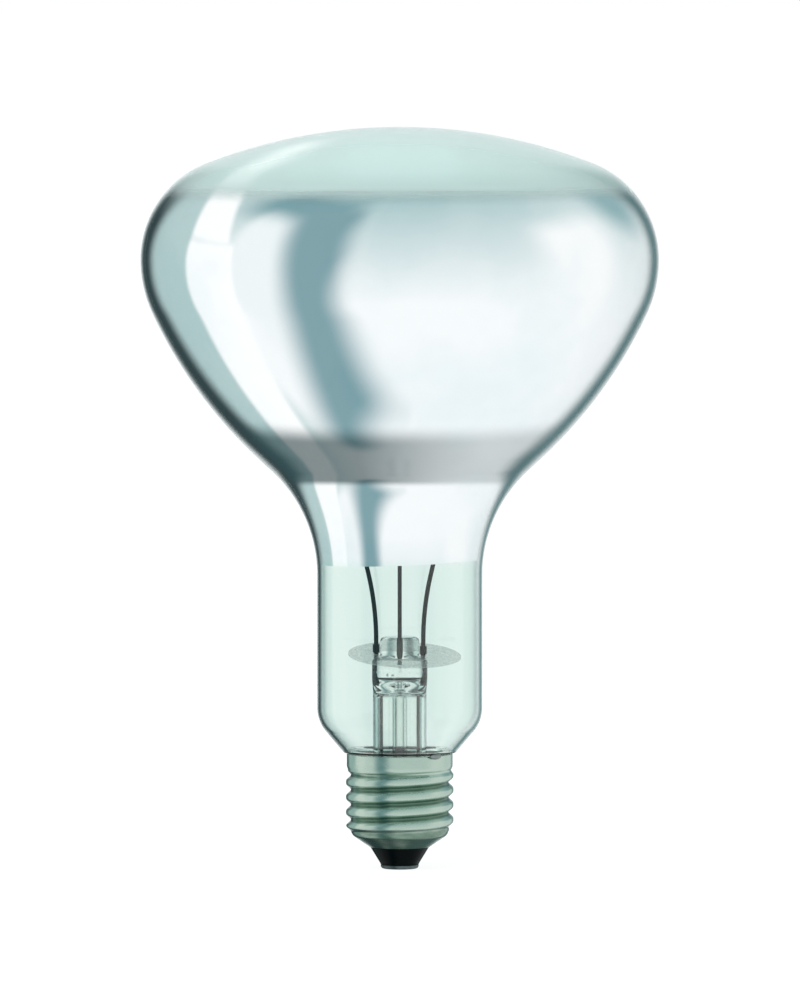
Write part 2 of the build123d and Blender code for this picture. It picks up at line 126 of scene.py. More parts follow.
# Studio that shows in the mirror, by direction seen from the lamp in degrees. Azimuth counts from the
# camera's side, positive to the right, and elevation from the horizon.
Card = namedtuple("Card", "name azimuth azimuth_soft elevation elevation_soft colour")
Spot = namedtuple("Spot", "name azimuth elevation radius soft colour", defaults=[None])
Look = namedtuple("Look", "direction azimuth elevation")
ROOM_LOW = paint(252, 254, 255)
ROOM_HIGH = paint(176, 203, 204)
STUDIO_CARDS = (
    Card("ceiling flag", (-105, -30), 16, (44, 74), 12, paint(126, 164, 170)),
    Card("left wall", (-165, -106), 9, (-60, 40), 14, paint(186, 209, 209)),
    Card("left screen", (-84, -54), 6, (-48, 44), 12, paint(244, 249, 250)),
    Card("right screen", (70, 112), 12, (-34, 34), 12, paint(255, 255, 255)),
    Spot("right flag", 139, 26, 13, 10, paint(150, 183, 187)),
    Card("left limb shade", (-168, -147), 7, (-75, 20), 12, paint(60, 77, 80)),
    Card("right limb shade", (151, 168), 8, (-75, 32), 12, paint(106, 136, 139)),
)
FLAG_EDGES = (
    Spot("left edge", -122.2, 1.9, 68.3, 8.0),
    Spot("right edge", 39.9, -18.6, 64.7, 9.0),
)
FLAG_CLOTH = paint(132, 165, 172)
STRIP_EDGES = (
    Spot("front edge", -142.4, 0.8, 61.5, 1.8),
    Spot("back edge", -163.3, 2.0, 52.0, 1.8),
)
STRIP_LIGHT = (1.05, 1.05, 1.05)
ARCH_EDGES = (
    Spot("outer edge", -131.9, -1.7, 49.2, 1.8),
    Spot("inner edge", -144.4, 1.8, 34.5, 1.8),
)
ARCH_GLARE = (1.5, 1.5, 1.5)
ARCH_LEAN = 0.59
FLOOR_SHADE = paint(58, 84, 87)
KEY_PLACE = (-0.7, -0.9, 1.1)
TOP_PLACE = (0.0, -0.1, 1.4)
CAMERA_CLIP = (0.01, 100.0)


def length(name, description, millimetres):
    """Property for a length, written in millimetres and kept in metres."""
    return bpy.props.FloatProperty(
        name=name,
        description=description,
        default=millimetres * MILLIMETRE,
        unit="LENGTH",
        precision=5,
    )


def angle(name, description, degrees):
    """Property for an angle, written in degrees and kept in radians."""
    return bpy.props.FloatProperty(
        name=name,
        description=description,
        default=math.radians(degrees),
        unit="ROTATION",
    )


def colour(name, description, value):
    """Property for a linear colour."""
    return bpy.props.FloatVectorProperty(
        name=name,
        description=description,
        default=value,
        subtype="COLOR",
        size=3,
        min=0.0,
        max=1.0,
    )


def number(name, description, value):
    """Property for a plain number."""
    return bpy.props.FloatProperty(name=name, description=description, default=value)


def count(name, description, value):
    """Property for a whole number."""
    return bpy.props.IntProperty(name=name, description=description, default=value, min=1)


class GlassSettings(bpy.types.PropertyGroup):
    """Sizes of the blown glass and the mirror film in it."""

    wall: length("Wall", "Thickness of the blown glass", 1.0)
    bulb_radius: length("Bulb radius", "Largest radius of the bulb", 62.7)
    dome_radius: length("Dome radius", "Curve of the clear front", 129.0)
    rim_radius: length("Rim radius", "Curve between the dome and the widest part", 25.0)
    belly_radius: length("Belly radius", "Curve under the widest part", 31.0)
    belly_turn: angle("Belly turn", "Angle at which the belly runs into the flank", 25.0)
    flank_slope: angle("Flank slope", "Angle of the steepest part of the flank", 47.0)
    throat_run: length("Throat run", "Straight part between flank and throat", 4.8)
    throat_radius: length("Throat radius", "Hollow curve between bulb and neck", 34.6)
    neck_radius: length("Neck radius", "Outer radius of the clear neck", 20.0)
    neck_length: length("Neck length", "Straight part of the neck", 32.16)
    shoulder_slope: angle("Shoulder slope", "Angle of the glass over the ledge", 40.0)
    shoulder_radius: length("Shoulder radius", "Curve under the neck", 9.0)
    seat_radius: length("Seat radius", "Radius of the glass inside the cap", 10.95)
    seat_fillet: length("Seat fillet", "Hollow curve above the seat", 0.8)
    ledge_level: length("Ledge", "Height of the glass's flat ledge over the cap's rim", 28.1)
    ledge_radius: length("Ledge radius", "Radius at which the ledge starts to curve up", 12.9)
    ledge_round: length("Ledge curve", "Curve between the ledge and the shoulder", 1.3)
    seal_level: length("Seal", "Height of the seal between bulb and stem", 17.0)
    film_gap: length("Film gap", "Space between glass and film", 0.1)
    film_thickness: length("Film", "Thickness of the mirror film", 0.15)
    film_front: angle("Film front", "Angle on the rim curve where the film ends", 46.0)
    film_rise: length("Film edge", "Height of the film's lower edge over the neck", 3.4)
    film_tilt: angle("Film tilt", "Slope of the film's lower edge", 2.0)
    front_level: length("Front level", "Height where the clear front starts", 164.5)


class MountSettings(bpy.types.PropertyGroup):
    """Sizes of the stem, its bubbles and the filament."""

    stem_radius: length("Stem radius", "Outer radius of the stem's tube", 6.5)
    stem_wall: length("Stem wall", "Wall of the stem's tube", 1.0)
    tube_top: length("Tube top", "Height where the stem's tube ends", 43.0)
    pinch_bottom: length("Pinch bottom", "Height where the flat pinch starts", 46.5)
    pinch_top: length("Pinch top", "Height of the pinch's top", 51.0)
    pinch_width: length("Pinch width", "Width of the pinch", 13.4)
    pinch_thickness: length("Pinch thickness", "Thickness of the pinch", 7.0)
    post_radius: length("Post radius", "Radius of the post over the pinch", 4.75)
    post_top: length("Post top", "Height of the post", 56.4)
    exhaust_radius: length("Exhaust radius", "Outer radius of the exhaust tube", 1.8)
    exhaust_wall: length("Exhaust wall", "Wall of the exhaust tube", 0.6)
    exhaust_tip: length("Exhaust tip", "Height of the drawn tip", 12.584)
    exhaust_shoulder: length("Exhaust shoulder", "Height where the tip's cone starts", 16.584)
    bubbles: count("Bubbles", "Number of bubbles in the pinch", 30)
    bubble_radius: length("Bubble radius", "Radius of the largest bubbles", 0.3)
    filament_level: length("Filament height", "Height of the filament", 102.0)
    filament_radius: length("Filament arc", "Radius of the filament's arc", 14.5)
    filament_tail: angle("Filament tail", "Angle by which each end passes its lead", 5.0)
    coil_radius: length("Coil radius", "Radius of the coil's middle line", 0.62)
    coil_wire: length("Coil wire", "Radius of the coiled wire", 0.16)
    coil_turns: count("Coil turns", "Number of turns of the coil", 84)


class CapSettings(bpy.types.PropertyGroup):
    """Sizes of the screw cap."""

    height: length("Height", "Height of the cap's rim", 28.0)
    sheet: length("Sheet", "Thickness of the metal", 0.3)
    root_radius: length("Thread root", "Radius of the wall between the ridges", 11.85)
    thread_depth: length("Thread depth", "Height of the ridges over the wall", 1.2)
    thread_pitch: length("Thread pitch", "Rise of the thread in one turn", 3.629)
    thread_phase: length("Thread phase", "Height at which a ridge passes the right side", 11.9)
    thread_bottom: length("Thread bottom", "Height where the thread rises out of the wall", 8.9)
    thread_top: length("Thread top", "Height where the thread runs into the collar", 24.5)
    thread_fade: length("Thread fade", "Length over which the thread rises", 1.6)
    collar_radius: length("Collar radius", "Radius of the plain collar", 12.85)
    collar_height: length("Collar height", "Height of the plain collar", 3.5)
    lip_radius: length("Lip radius", "Radius of the opening for the insulator", 7.3)
    lip_level: length("Lip level", "Height of the lower lip", 5.3)
    wall_bottom: length("Wall bottom", "Height where the wall turns in", 9.432)
    turn_radius: length("Bottom turn", "Radius of the turn to the lip", 2.0)
    lip_angle: angle("Lip angle", "Slope of the lip", 34.0)
    contact_radius: length("Contact radius", "Radius of the contact plate", 4.6)
    contact_thickness: length("Contact thickness", "Thickness of the contact plate", 0.9)
    contact_round: length("Contact edge", "Round of the contact's lower edge", 0.7)
    plug_radius: length("Solder radius", "Radius of the solder in the contact", 1.3)
    waist_inset: length("Insulator waist", "Step in from the lip to the insulator", 0.3)


class FinishSettings(bpy.types.PropertyGroup):
    """Colours of the finishes."""

    neck_glass: colour("Neck glass", "Tint of the clear neck", paint(244, 253, 248))
    front_glass: colour("Front glass", "Tint of the bulb's front", paint(238, 255, 250))
    front_edge: colour("Front edge", "Tint of the bulb's front beside the film", paint(226, 241, 238))
    bulb_depth: colour("Bulb depth", "Tint that deepens with the bulb's glass", (0.6, 0.95, 0.88))
    bulb_density: number("Bulb density", "How fast the bulb's tint deepens", 12.0)
    stem_glass: colour("Stem glass", "Tint of the stem's glass", paint(252, 255, 253))
    stem_depth: colour("Stem depth", "Tint that deepens with the stem's glass", (0.8, 0.97, 0.92))
    stem_density: number("Stem density", "How fast the stem's tint deepens", 1.5)
    mirror: colour("Mirror", "Colour of the mirror film", paint(251, 253, 254))
    mirror_dull: colour("Dull mirror", "Mirror film where it is thin", paint(240, 247, 249))
    cap_metal: colour("Cap metal", "Plated metal of the cap", paint(184, 203, 191))
    # Painted shade: darker metal painted between the thread's ridges and over the cap's lower skirt
    cap_painted_shade: colour("Cap shade", "Metal between the ridges", paint(92, 120, 103))
    black_glass: colour("Black glass", "Insulator in the cap", paint(3, 8, 9))
    contact: colour("Contact", "Worn plate of the contact", paint(98, 109, 110))
    solder: colour("Solder", "Dull tin of the solder", paint(150, 160, 155))
    lead: colour("Lead wire", "Oxidised nickel of the leads", paint(10, 26, 22))
    seal: colour("Seal wire", "Wire melted into the pinch", paint(34, 36, 33))
    filament: colour("Filament", "Bare tungsten", paint(110, 112, 112))
    mica: colour("Mica", "Pale sheet of the heat shield", paint(236, 242, 240))
    cement: colour("Cement", "Cement under the rim", paint(196, 188, 170))
    floor: colour("Floor", "Plain pale floor", paint(240, 240, 240))


class StageSettings(bpy.types.PropertyGroup):
    """Camera and light."""

    lens: number("Lens", "Focal length in millimetres", 360.0)
    sensor: number("Sensor", "Long side of the sensor in millimetres", 36.0)
    view_height: length("View height", "Height that the picture takes in", 242.25)
    aim_across: length("Aim across", "Sideways place of the picture's centre", 0.07)
    aim_level: length("Aim height", "Height of the picture's centre", 89.5)
    elevation: angle("Elevation", "Angle of the camera over the horizon", 3.0)
    floor_size: length("Floor size", "Half the floor's side", 60000.0)
    floor_shadow: number("Floor shadow", "Share of the floor's own shading in the picture", 0.16)
    key_power: number("Key light", "Power of the soft key light in watts", 9.0)
    key_size: length("Key size", "Side of the soft key light", 900.0)
    top_power: number("Top light", "Power of the soft light overhead in watts", 11.0)
    top_size: length("Top size", "Side of the soft light overhead", 600.0)


def settings():
    """The scene's property groups by short name."""
    scene = bpy.context.scene
    return {
        "glass": scene.lamp_glass,
        "mount": scene.lamp_mount,
        "cap": scene.lamp_cap,
        "finish": scene.lamp_finish,
        "stage": scene.lamp_stage,
    }


# Helpers for meshes

def arc(centre, radius, start, end, steps):
    """Points of an arc as radius and height, with angles in radians."""
    turns = np.linspace(start, end, steps + 1)
    return [(centre[0] + radius * math.cos(t), centre[1] + radius * math.sin(t)) for t in turns]


def straight(start, end, steps):
    """Points of a straight line as radius and height."""
    shares = np.linspace(0.0, 1.0, steps + 1)
    return [(start[0] + (end[0] - start[0]) * s, start[1] + (end[1] - start[1]) * s) for s in shares]


def without_doubles(points):
    """Row of points without neighbours that lie on each other."""
    row = [points[0]]
    for point in points[1:]:
        if math.dist(row[-1], point) > MERGE_DISTANCE:
            row.append(point)
    return row


def turns_round(steps):
    """Angles of even steps round the axis."""
    return np.linspace(0.0, FULL_TURN, steps, endpoint=False)


def turned_rings(profile, steps):
    """Rings of points from a row of radius and height, one ring for each point."""
    turns = turns_round(steps)
    cosine = np.cos(turns)
    sine = np.sin(turns)
    return [np.column_stack([r * cosine, r * sine, np.full(steps, z)]) for r, z in profile]


def skinned(name, rings, closed=False):
    """Mesh over a row of rings. A ring on the axis becomes one point, and faces point outwards
    where the rings run down the outside."""
    points = []
    indices = []
    for ring in rings:
        first = len(points)
        if np.hypot(ring[:, 0], ring[:, 1]).max() < AXIS_LIMIT:
            points.append(tuple(ring[0]))
            indices.append([first] * len(ring))
        else:
            points.extend(map(tuple, ring))
            indices.append(list(range(first, first + len(ring))))
    pairs = list(zip(indices, indices[1:]))
    if closed:
        pairs.append((indices[-1], indices[0]))
    faces = []
    for upper, lower in pairs:
        for here in range(len(upper)):
            there = (here + 1) % len(upper)
            corners = [upper[here], lower[here], lower[there], upper[there]]
            face = list(dict.fromkeys(corners))
            if len(face) > 2:
                faces.append(face)
    mesh = bpy.data.meshes.new(name)
    mesh.from_pydata(points, [], faces)
    mesh.update()
    return mesh


def joined(name, meshes):
    """One mesh from several, which are then gone."""
    whole = bmesh.new()
    for mesh in meshes:
        whole.from_mesh(mesh)
        bpy.data.meshes.remove(mesh)
    result = bpy.data.meshes.new(name)
    whole.to_mesh(result)
    whole.free()
    return result


def merged_copy(name, nodes):
    """One mesh from the packed meshes of some nodes, with their loose triangles joined."""
    parts = []
    for node in nodes:
        single = bmesh.new()
        single.from_mesh(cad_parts[node].data)
        bmesh.ops.remove_doubles(single, verts=single.verts, dist=MERGE_DISTANCE)
        part = bpy.data.meshes.new(node + "_copy")
        single.to_mesh(part)
        single.free()
        parts.append(part)
    return joined(name, parts)


def linked(name, data):
    """New object in the scene."""
    item = bpy.data.objects.new(name, data)
    bpy.context.scene.collection.objects.link(item)
    return item


def placed(name, mesh, material, nodes):
    """Finished piece that stands for some CAD nodes and rides on the lamp."""
    mesh.name = name
    piece = linked(name, mesh)
    mesh.materials.clear()
    mesh.materials.append(material)
    mesh.shade_smooth()
    mesh.set_sharp_from_angle(angle=SHARP_ANGLE)
    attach(piece, "root")
    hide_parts(*nodes)


# Helpers for node trees

def fill(tree, node, inputs):
    """Link inputs of a node, named or numbered, to other sockets or give them fixed values."""
    for key, value in inputs.items():
        if isinstance(value, bpy.types.NodeSocket):
            tree.links.new(value, node.inputs[key])
        else:
            node.inputs[key].default_value = value


def add(tree, kind, inputs=None, **values):
    """New node with some of its settings and inputs."""
    node = tree.nodes.new(kind)
    for key, value in values.items():
        setattr(node, key, value)
    fill(tree, node, inputs or {})
    return node


def calc(tree, operation, first, second=0.0):
    """Result of one Math node."""
    return add(tree, "ShaderNodeMath", {0: first, 1: second}, operation=operation).outputs[0]


def product(tree, first, *others):
    """Product of some values."""
    for other in others:
        first = calc(tree, "MULTIPLY", first, other)
    return first


def less(tree, value):
    """One less a value."""
    return calc(tree, "SUBTRACT", 1.0, value)


def mapped(tree, method, levels):
    """Change between two levels over a range, from the value, the range and the levels."""
    return add(tree, "ShaderNodeMapRange", dict(enumerate(levels)), interpolation_type=method).outputs[0]


def eased(tree, value, low, high, start=0.0, end=1.0):
    """Smooth step from one level to another while a value goes from low to high."""
    return mapped(tree, "SMOOTHSTEP", (value, low, high, start, end))


def ranged(tree, value, low, high, start=0.0, end=1.0):
    """Straight change from one level to another while a value goes from low to high."""
    return mapped(tree, "LINEAR", (value, low, high, start, end))


def toned(tree, value, start, end):
    """Straight change from one level to another over the usual range of a noise."""
    return ranged(tree, value, *NOISE_RANGE, start=start, end=end)


def window(tree, value, low, high, soft):
    """One between two levels, falling softly to nothing outside them."""
    rise = eased(tree, value, low - soft, low + soft)
    fall = eased(tree, value, high - soft, high + soft, 1.0, 0.0)
    return product(tree, rise, fall)


def opaque(tint):
    """Colour with full alpha, or a socket as it is."""
    if isinstance(tint, bpy.types.NodeSocket):
        return tint
    return (tint[0], tint[1], tint[2], 1.0)


def blended(tree, share, first, second):
    """Colour between two others."""
    inputs = dict(zip(MIX_INPUTS, (share, opaque(first), opaque(second))))
    return add(tree, "ShaderNodeMix", inputs, data_type="RGBA").outputs[MIX_RESULT]


def shaded(tree, share, tint, least, most=1.0):
    """Tint that goes from one share of its tone to another."""
    return blended(tree, share, tuple(part * least for part in tint), tuple(part * most for part in tint))


def axes(tree, vector):
    """The three parts of a vector."""
    return add(tree, "ShaderNodeSeparateXYZ", {0: vector}).outputs


def noise(tree, place, scale, detail=3.0, roughness=0.5):
    """Noise value at a place, with scale in waves per metre."""
    inputs = {"Vector": place, "Scale": scale, "Detail": detail, "Roughness": roughness}
    return add(tree, "ShaderNodeTexNoise", inputs).outputs["Fac"]


def stretched(tree, place, along=1.0, up=1.0):
    """Place with two of its axes scaled."""
    inputs = {"Vector": place, "Scale": (1.0, along, up)}
    return add(tree, "ShaderNodeMapping", inputs).outputs["Vector"]


def bumped(tree, height, distance, strength):
    """Normal from a height value."""
    inputs = {"Height": height, "Distance": distance, "Strength": strength}
    return add(tree, "ShaderNodeBump", inputs).outputs["Normal"]


def attribute(tree, name):
    """Value of a mesh attribute."""
    return add(tree, "ShaderNodeAttribute", attribute_name=name).outputs["Fac"]


def new_finish(name):
    """New material with its tree, main shader and object coordinates."""
    material = bpy.data.materials.new(name)
    material.use_nodes = True
    tree = material.node_tree
    shader = tree.nodes["Principled BSDF"]
    place = add(tree, "ShaderNodeTexCoord").outputs["Object"]
    return material, tree, shader, place


# Finishes

def glass_finish(name, tint, depth_tint, density, front=None):
    """Clear blown glass with a tint that deepens with its thickness. Between the levels of the film
    behind it the glass itself is colourless. Over them it is milky, with the front's tints and frost."""
    material, tree, shader, place = new_finish(name)
    waves = noise(tree, stretched(tree, place, up=0.4), scale=60.0, detail=1.0)
    streaks = noise(tree, stretched(tree, place, up=0.2), scale=130.0, detail=2.0)
    pale = tuple(0.5 + 0.5 * part for part in tint)
    tinted = blended(tree, streaks, tint, pale)
    polish = toned(tree, streaks, start=0.0, end=0.004)
    clearness = 1.0
    if front is not None:
        height = axes(tree, place)[2]
        covered = eased(tree, height, front.low - FILM_FADE, front.low + FILM_FADE)
        open_front = eased(tree, height, front.high - FILM_FADE, front.high + FILM_FADE)
        inward = eased(tree, height, front.high, front.high + FRONT_EDGE)
        tinted = blended(tree, covered, tinted, WHITE)
        tinted = blended(tree, open_front, tinted, blended(tree, inward, front.edge_tint, front.tint))
        clearness = ranged(tree, open_front, 0.0, 1.0, 1.0, 1.0 - MILKINESS)
        polish = calc(tree, "ADD", polish, product(tree, attribute(tree, "front_frost"), FROST))
    fill(tree, shader, {
        "Base Color": tinted,
        "Roughness": polish,
        "Normal": bumped(tree, waves, distance=0.00012, strength=0.1),
        "Transmission Weight": clearness,
        "IOR": GLASS_IOR,
    })
    inputs = {"Color": opaque(depth_tint), "Density": density}
    absorption = add(tree, "ShaderNodeVolumeAbsorption", inputs)
    fill(tree, tree.nodes["Material Output"], {"Volume": absorption.outputs["Volume"]})
    return material


def mirror_finish(finish):
    """Evaporated aluminium on the inside of the glass."""
    material, tree, shader, place = new_finish("mirror_film")
    clouds = noise(tree, place, scale=28.0)
    grain = noise(tree, place, scale=900.0, detail=2.0)
    worn = eased(tree, clouds, low=0.42, high=0.68)
    fill(tree, shader, {
        "Base Color": blended(tree, worn, finish.mirror, finish.mirror_dull),
        "Roughness": ranged(tree, grain, low=0.2, high=0.8, start=0.012, end=0.03),
        "Normal": bumped(tree, clouds, distance=0.0002, strength=0.1),
        "Metallic": 1.0,
    })
    return material


def cap_finish(finish):
    """Plated sheet metal with random smears, and painted shade that darkens it between the ridges and over
    the lower skirt.
    """
    material, tree, shader, place = new_finish("cap_metal")
    smears = noise(tree, stretched(tree, place, up=3.0), scale=260.0, detail=4.0)
    scratches = noise(tree, stretched(tree, place, up=14.0), scale=420.0, detail=5.0)
    # Painted shade, darkest in the thread's hollows and on the skirt under the thread, with random smears
    # added
    skirt = eased(tree, axes(tree, place)[2], *SKIRT_SHADE_LEVELS, start=0.8, end=0.0)
    hollow_and_skirt_shade = calc(tree, "MAXIMUM", attribute(tree, "thread_hollow"), skirt)
    shade_and_smears = calc(tree, "ADD", hollow_and_skirt_shade, product(tree, smears, SMEAR_SHARE))
    shade = eased(tree, shade_and_smears, low=0.6, high=1.15)
    fill(tree, shader, {
        "Base Color": blended(tree, shade, finish.cap_metal, finish.cap_painted_shade),
        "Roughness": toned(tree, smears, start=0.16, end=0.3),
        "Normal": bumped(tree, scratches, distance=0.00004, strength=0.35),
        "Metallic": 1.0,
    })
    return material


def black_glass_finish(finish):
    """Glossy black glass with faint pits."""
    material, tree, shader, place = new_finish("black_glass")
    pits = noise(tree, place, scale=1400.0, detail=4.0)
    swirl = noise(tree, place, scale=180.0)
    fill(tree, shader, {
        "Base Color": shaded(tree, swirl, finish.black_glass, least=1.0, most=1.5),
        "Roughness": toned(tree, swirl, start=0.1, end=0.22),
        "Normal": bumped(tree, pits, distance=0.00005, strength=0.25),
        "Specular IOR Level": 0.04,
    })
    return material


def metal_finish(name, tint, roughness, grain, depth, metallic=1.0):
    """Metal with a spotted tone and a fine grain."""
    material, tree, shader, place = new_finish(name)
    spots = noise(tree, place, grain, detail=4.0, roughness=0.6)
    fine = noise(tree, place, grain * FINE_GRAIN)
    fill(tree, shader, {
        "Base Color": shaded(tree, eased(tree, spots, *NOISE_RANGE), tint, least=0.62),
        "Roughness": toned(tree, spots, roughness * (1 - WEAR), roughness * (1 + WEAR)),
        "Normal": bumped(tree, fine, depth, strength=0.4),
        "Metallic": metallic,
    })
    return material


def contact_finish(finish):
    """Worn contact plate with turning marks."""
    material, tree, shader, place = new_finish("contact_metal")
    inputs = {"Vector": place, "Scale": 900.0, "Distortion": 2.0}
    rings = add(tree, "ShaderNodeTexWave", inputs, wave_type="RINGS", rings_direction="Z")
    wear = noise(tree, place, scale=700.0, detail=5.0)
    fill(tree, shader, {
        "Base Color": shaded(tree, eased(tree, wear, *NOISE_RANGE), finish.contact, least=0.55),
        "Roughness": toned(tree, wear, start=0.3, end=0.5),
        "Normal": bumped(tree, rings.outputs["Fac"], distance=0.00003, strength=0.4),
        "Metallic": 1.0,
    })
    return material


def mica_finish(finish):
    """Split mica: pale, streaked and thin enough to see through."""
    material, tree, shader, place = new_finish("mica")
    flakes = noise(tree, stretched(tree, place, along=2.4), scale=160.0, detail=5.0, roughness=0.65)
    specks = noise(tree, place, scale=900.0)
    fill(tree, shader, {
        "Base Color": shaded(tree, eased(tree, flakes, low=0.35, high=0.65), finish.mica, least=0.86),
        "Roughness": toned(tree, specks, start=0.18, end=0.42),
        "Normal": bumped(tree, flakes, distance=0.00008, strength=0.4),
        "IOR": MICA_IOR,
        "Alpha": 0.3,
    })
    return material


def cement_finish(finish):
    """Grainy baked cement."""
    material, tree, shader, place = new_finish("cement")
    grains = noise(tree, place, scale=1200.0, detail=5.0, roughness=0.7)
    fill(tree, shader, {
        "Base Color": shaded(tree, grains, finish.cement, least=0.7),
        "Roughness": 0.9,
        "Normal": bumped(tree, grains, distance=0.0001, strength=0.6),
    })
    return material


# Geometry Nodes

def new_tree(name, inputs):
    """New geometry tree with named inputs between a geometry and a material, and a geometry output."""
    tree = bpy.data.node_groups.new(name, "GeometryNodeTree")
    for label, kind in (("Geometry", "Geometry"), *inputs, ("Material", "Material")):
        tree.interface.new_socket(label, in_out="INPUT", socket_type="NodeSocket" + kind)
    tree.interface.new_socket("Geometry", in_out="OUTPUT", socket_type="NodeSocketGeometry")
    return tree, add(tree, "NodeGroupInput").outputs


def close_tree(tree, geometry, material):
    """Realize Instances and Set Material at the end of a geometry tree."""
    realize = add(tree, "GeometryNodeRealizeInstances", {"Geometry": geometry})
    inputs = {"Geometry": realize.outputs["Geometry"], "Material": material}
    paint_on = add(tree, "GeometryNodeSetMaterial", inputs)
    add(tree, "NodeGroupOutput", {"Geometry": paint_on.outputs["Geometry"]})
    return tree


def run_tree(name, mesh, tree, values):
    """Plain mesh that a geometry tree makes from another, with its inputs set by identifier."""
    carrier = linked(name, mesh)
    modifier = carrier.modifiers.new(name, "NODES")
    modifier.node_group = tree
    for item in tree.interface.items_tree:
        if item.item_type == "SOCKET" and item.in_out == "INPUT" and item.name in values:
            modifier[item.identifier] = values[item.name]
    bpy.context.view_layer.update()
    depsgraph = bpy.context.evaluated_depsgraph_get()
    result = bpy.data.meshes.new_from_object(carrier.evaluated_get(depsgraph))
    carrier.modifiers.remove(modifier)
    bpy.data.objects.remove(carrier)
    bpy.data.meshes.remove(mesh)
    if not result.vertices:
        raise RuntimeError(f"the tree {name} made no mesh")
    return result


def thread_tree():
    """Tree that rolls a round right-hand thread into a plain shell."""
    labels = ("Pitch", "Depth", "Phase", "Bottom", "Top", "Fade")
    tree, given = new_tree("rolled_thread", [(label, "Float") for label in labels])
    x, y, z = axes(tree, add(tree, "GeometryNodeInputPosition").outputs[0])
    around = calc(tree, "DIVIDE", calc(tree, "ARCTAN2", y, x), FULL_TURN)
    rise = calc(tree, "DIVIDE", calc(tree, "SUBTRACT", z, given["Phase"]), given["Pitch"])
    wave = calc(tree, "COSINE", product(tree, calc(tree, "SUBTRACT", rise, around), FULL_TURN))
    hollow = calc(tree, "SUBTRACT", 0.5, product(tree, wave, 0.5))
    lift = less(tree, calc(tree, "POWER", hollow, RIDGE_POWER))
    enter = eased(tree, z, given["Bottom"], calc(tree, "ADD", given["Bottom"], given["Fade"]))
    leave = eased(tree, z, calc(tree, "SUBTRACT", given["Top"], given["Fade"]), given["Top"], 1.0, 0.0)
    rolled = product(tree, enter, leave)
    # Stores how deep each point lies in the thread's hollow; the cap finish uses it to place painted shade
    # between the ridges
    keep = add(tree, "GeometryNodeStoreNamedAttribute", {
        "Geometry": given["Geometry"],
        "Name": "thread_hollow",
        "Value": product(tree, rolled, less(tree, lift)),
    }, data_type="FLOAT", domain="POINT")
    flat = add(tree, "ShaderNodeCombineXYZ", {0: x, 1: y})
    outward = add(tree, "ShaderNodeVectorMath", {0: flat.outputs[0]}, operation="NORMALIZE")
    offset = add(tree, "ShaderNodeVectorMath", {
        0: outward.outputs[0],
        "Scale": product(tree, lift, rolled, given["Depth"]),
    }, operation="SCALE")
    move = add(tree, "GeometryNodeSetPosition", {
        "Geometry": keep.outputs["Geometry"],
        "Offset": offset.outputs[0],
    })
    return close_tree(tree, move.outputs["Geometry"], given["Material"])


def coil_tree():
    """Tree that winds a wire round an arc."""
    labels = ("Height", "Arc radius", "Start", "Sweep", "Coil radius", "Wire radius")
    inputs = [(label, "Float") for label in labels] + [("Turns", "Int"), ("Points per turn", "Int")]
    tree, given = new_tree("wound_coil", inputs)
    line = add(tree, "GeometryNodeCurvePrimitiveLine")
    points = add(tree, "GeometryNodeResampleCurve", {
        "Curve": line.outputs["Curve"],
        "Count": product(tree, given["Turns"], given["Points per turn"]),
    })
    factor = add(tree, "GeometryNodeSplineParameter").outputs["Factor"]
    around = calc(tree, "ADD", given["Start"], product(tree, factor, given["Sweep"]))
    wound = product(tree, factor, given["Turns"], FULL_TURN)
    out = product(tree, calc(tree, "COSINE", wound), given["Coil radius"])
    up = product(tree, calc(tree, "SINE", wound), given["Coil radius"])
    reach = calc(tree, "ADD", given["Arc radius"], out)
    place = add(tree, "ShaderNodeCombineXYZ", {
        0: product(tree, calc(tree, "COSINE", around), reach),
        1: product(tree, calc(tree, "SINE", around), reach),
        2: calc(tree, "ADD", given["Height"], up),
    })
    move = add(tree, "GeometryNodeSetPosition", {
        "Geometry": points.outputs["Curve"],
        "Position": place.outputs[0],
    })
    section = add(tree, "GeometryNodeCurvePrimitiveCircle", {
        "Resolution": WIRE_SIDES,
        "Radius": given["Wire radius"],
    })
    tube = add(tree, "GeometryNodeCurveToMesh", {
        "Curve": move.outputs["Geometry"],
        "Profile Curve": section.outputs["Curve"],
        "Fill Caps": True,
    })
    return close_tree(tree, tube.outputs["Mesh"], given["Material"])


def bubble_tree():
    """Tree that scatters hollow bubbles in a box, with faces that point into each hollow."""
    inputs = [
        ("Count", "Int"),
        ("Low corner", "Vector"),
        ("High corner", "Vector"),
        ("Radius", "Float"),
        ("Seed", "Int"),
    ]
    tree, given = new_tree("pinch_bubbles", inputs)
    spot = add(tree, "FunctionNodeRandomValue", data_type="FLOAT_VECTOR")
    fill(tree, spot, {0: given["Low corner"], 1: given["High corner"], "Seed": given["Seed"]})
    spread = add(tree, "FunctionNodeRandomValue", data_type="FLOAT_VECTOR")
    next_seed = calc(tree, "ADD", given["Seed"], 1.0)
    fill(tree, spread, {0: BUBBLE_LEAST, 1: BUBBLE_MOST, "Seed": next_seed})
    points = add(tree, "GeometryNodePoints", {"Count": given["Count"], "Position": spot.outputs[0]})
    ball = add(tree, "GeometryNodeMeshIcoSphere", {"Radius": given["Radius"], "Subdivisions": BUBBLE_DETAIL})
    flip = add(tree, "GeometryNodeFlipFaces", {"Mesh": ball.outputs["Mesh"]})
    place = add(tree, "GeometryNodeInstanceOnPoints", {
        "Points": points.outputs[0],
        "Instance": flip.outputs["Mesh"],
        "Scale": spread.outputs[0],
    })
    return close_tree(tree, place.outputs["Instances"], given["Material"])


# Shapes of the lamp

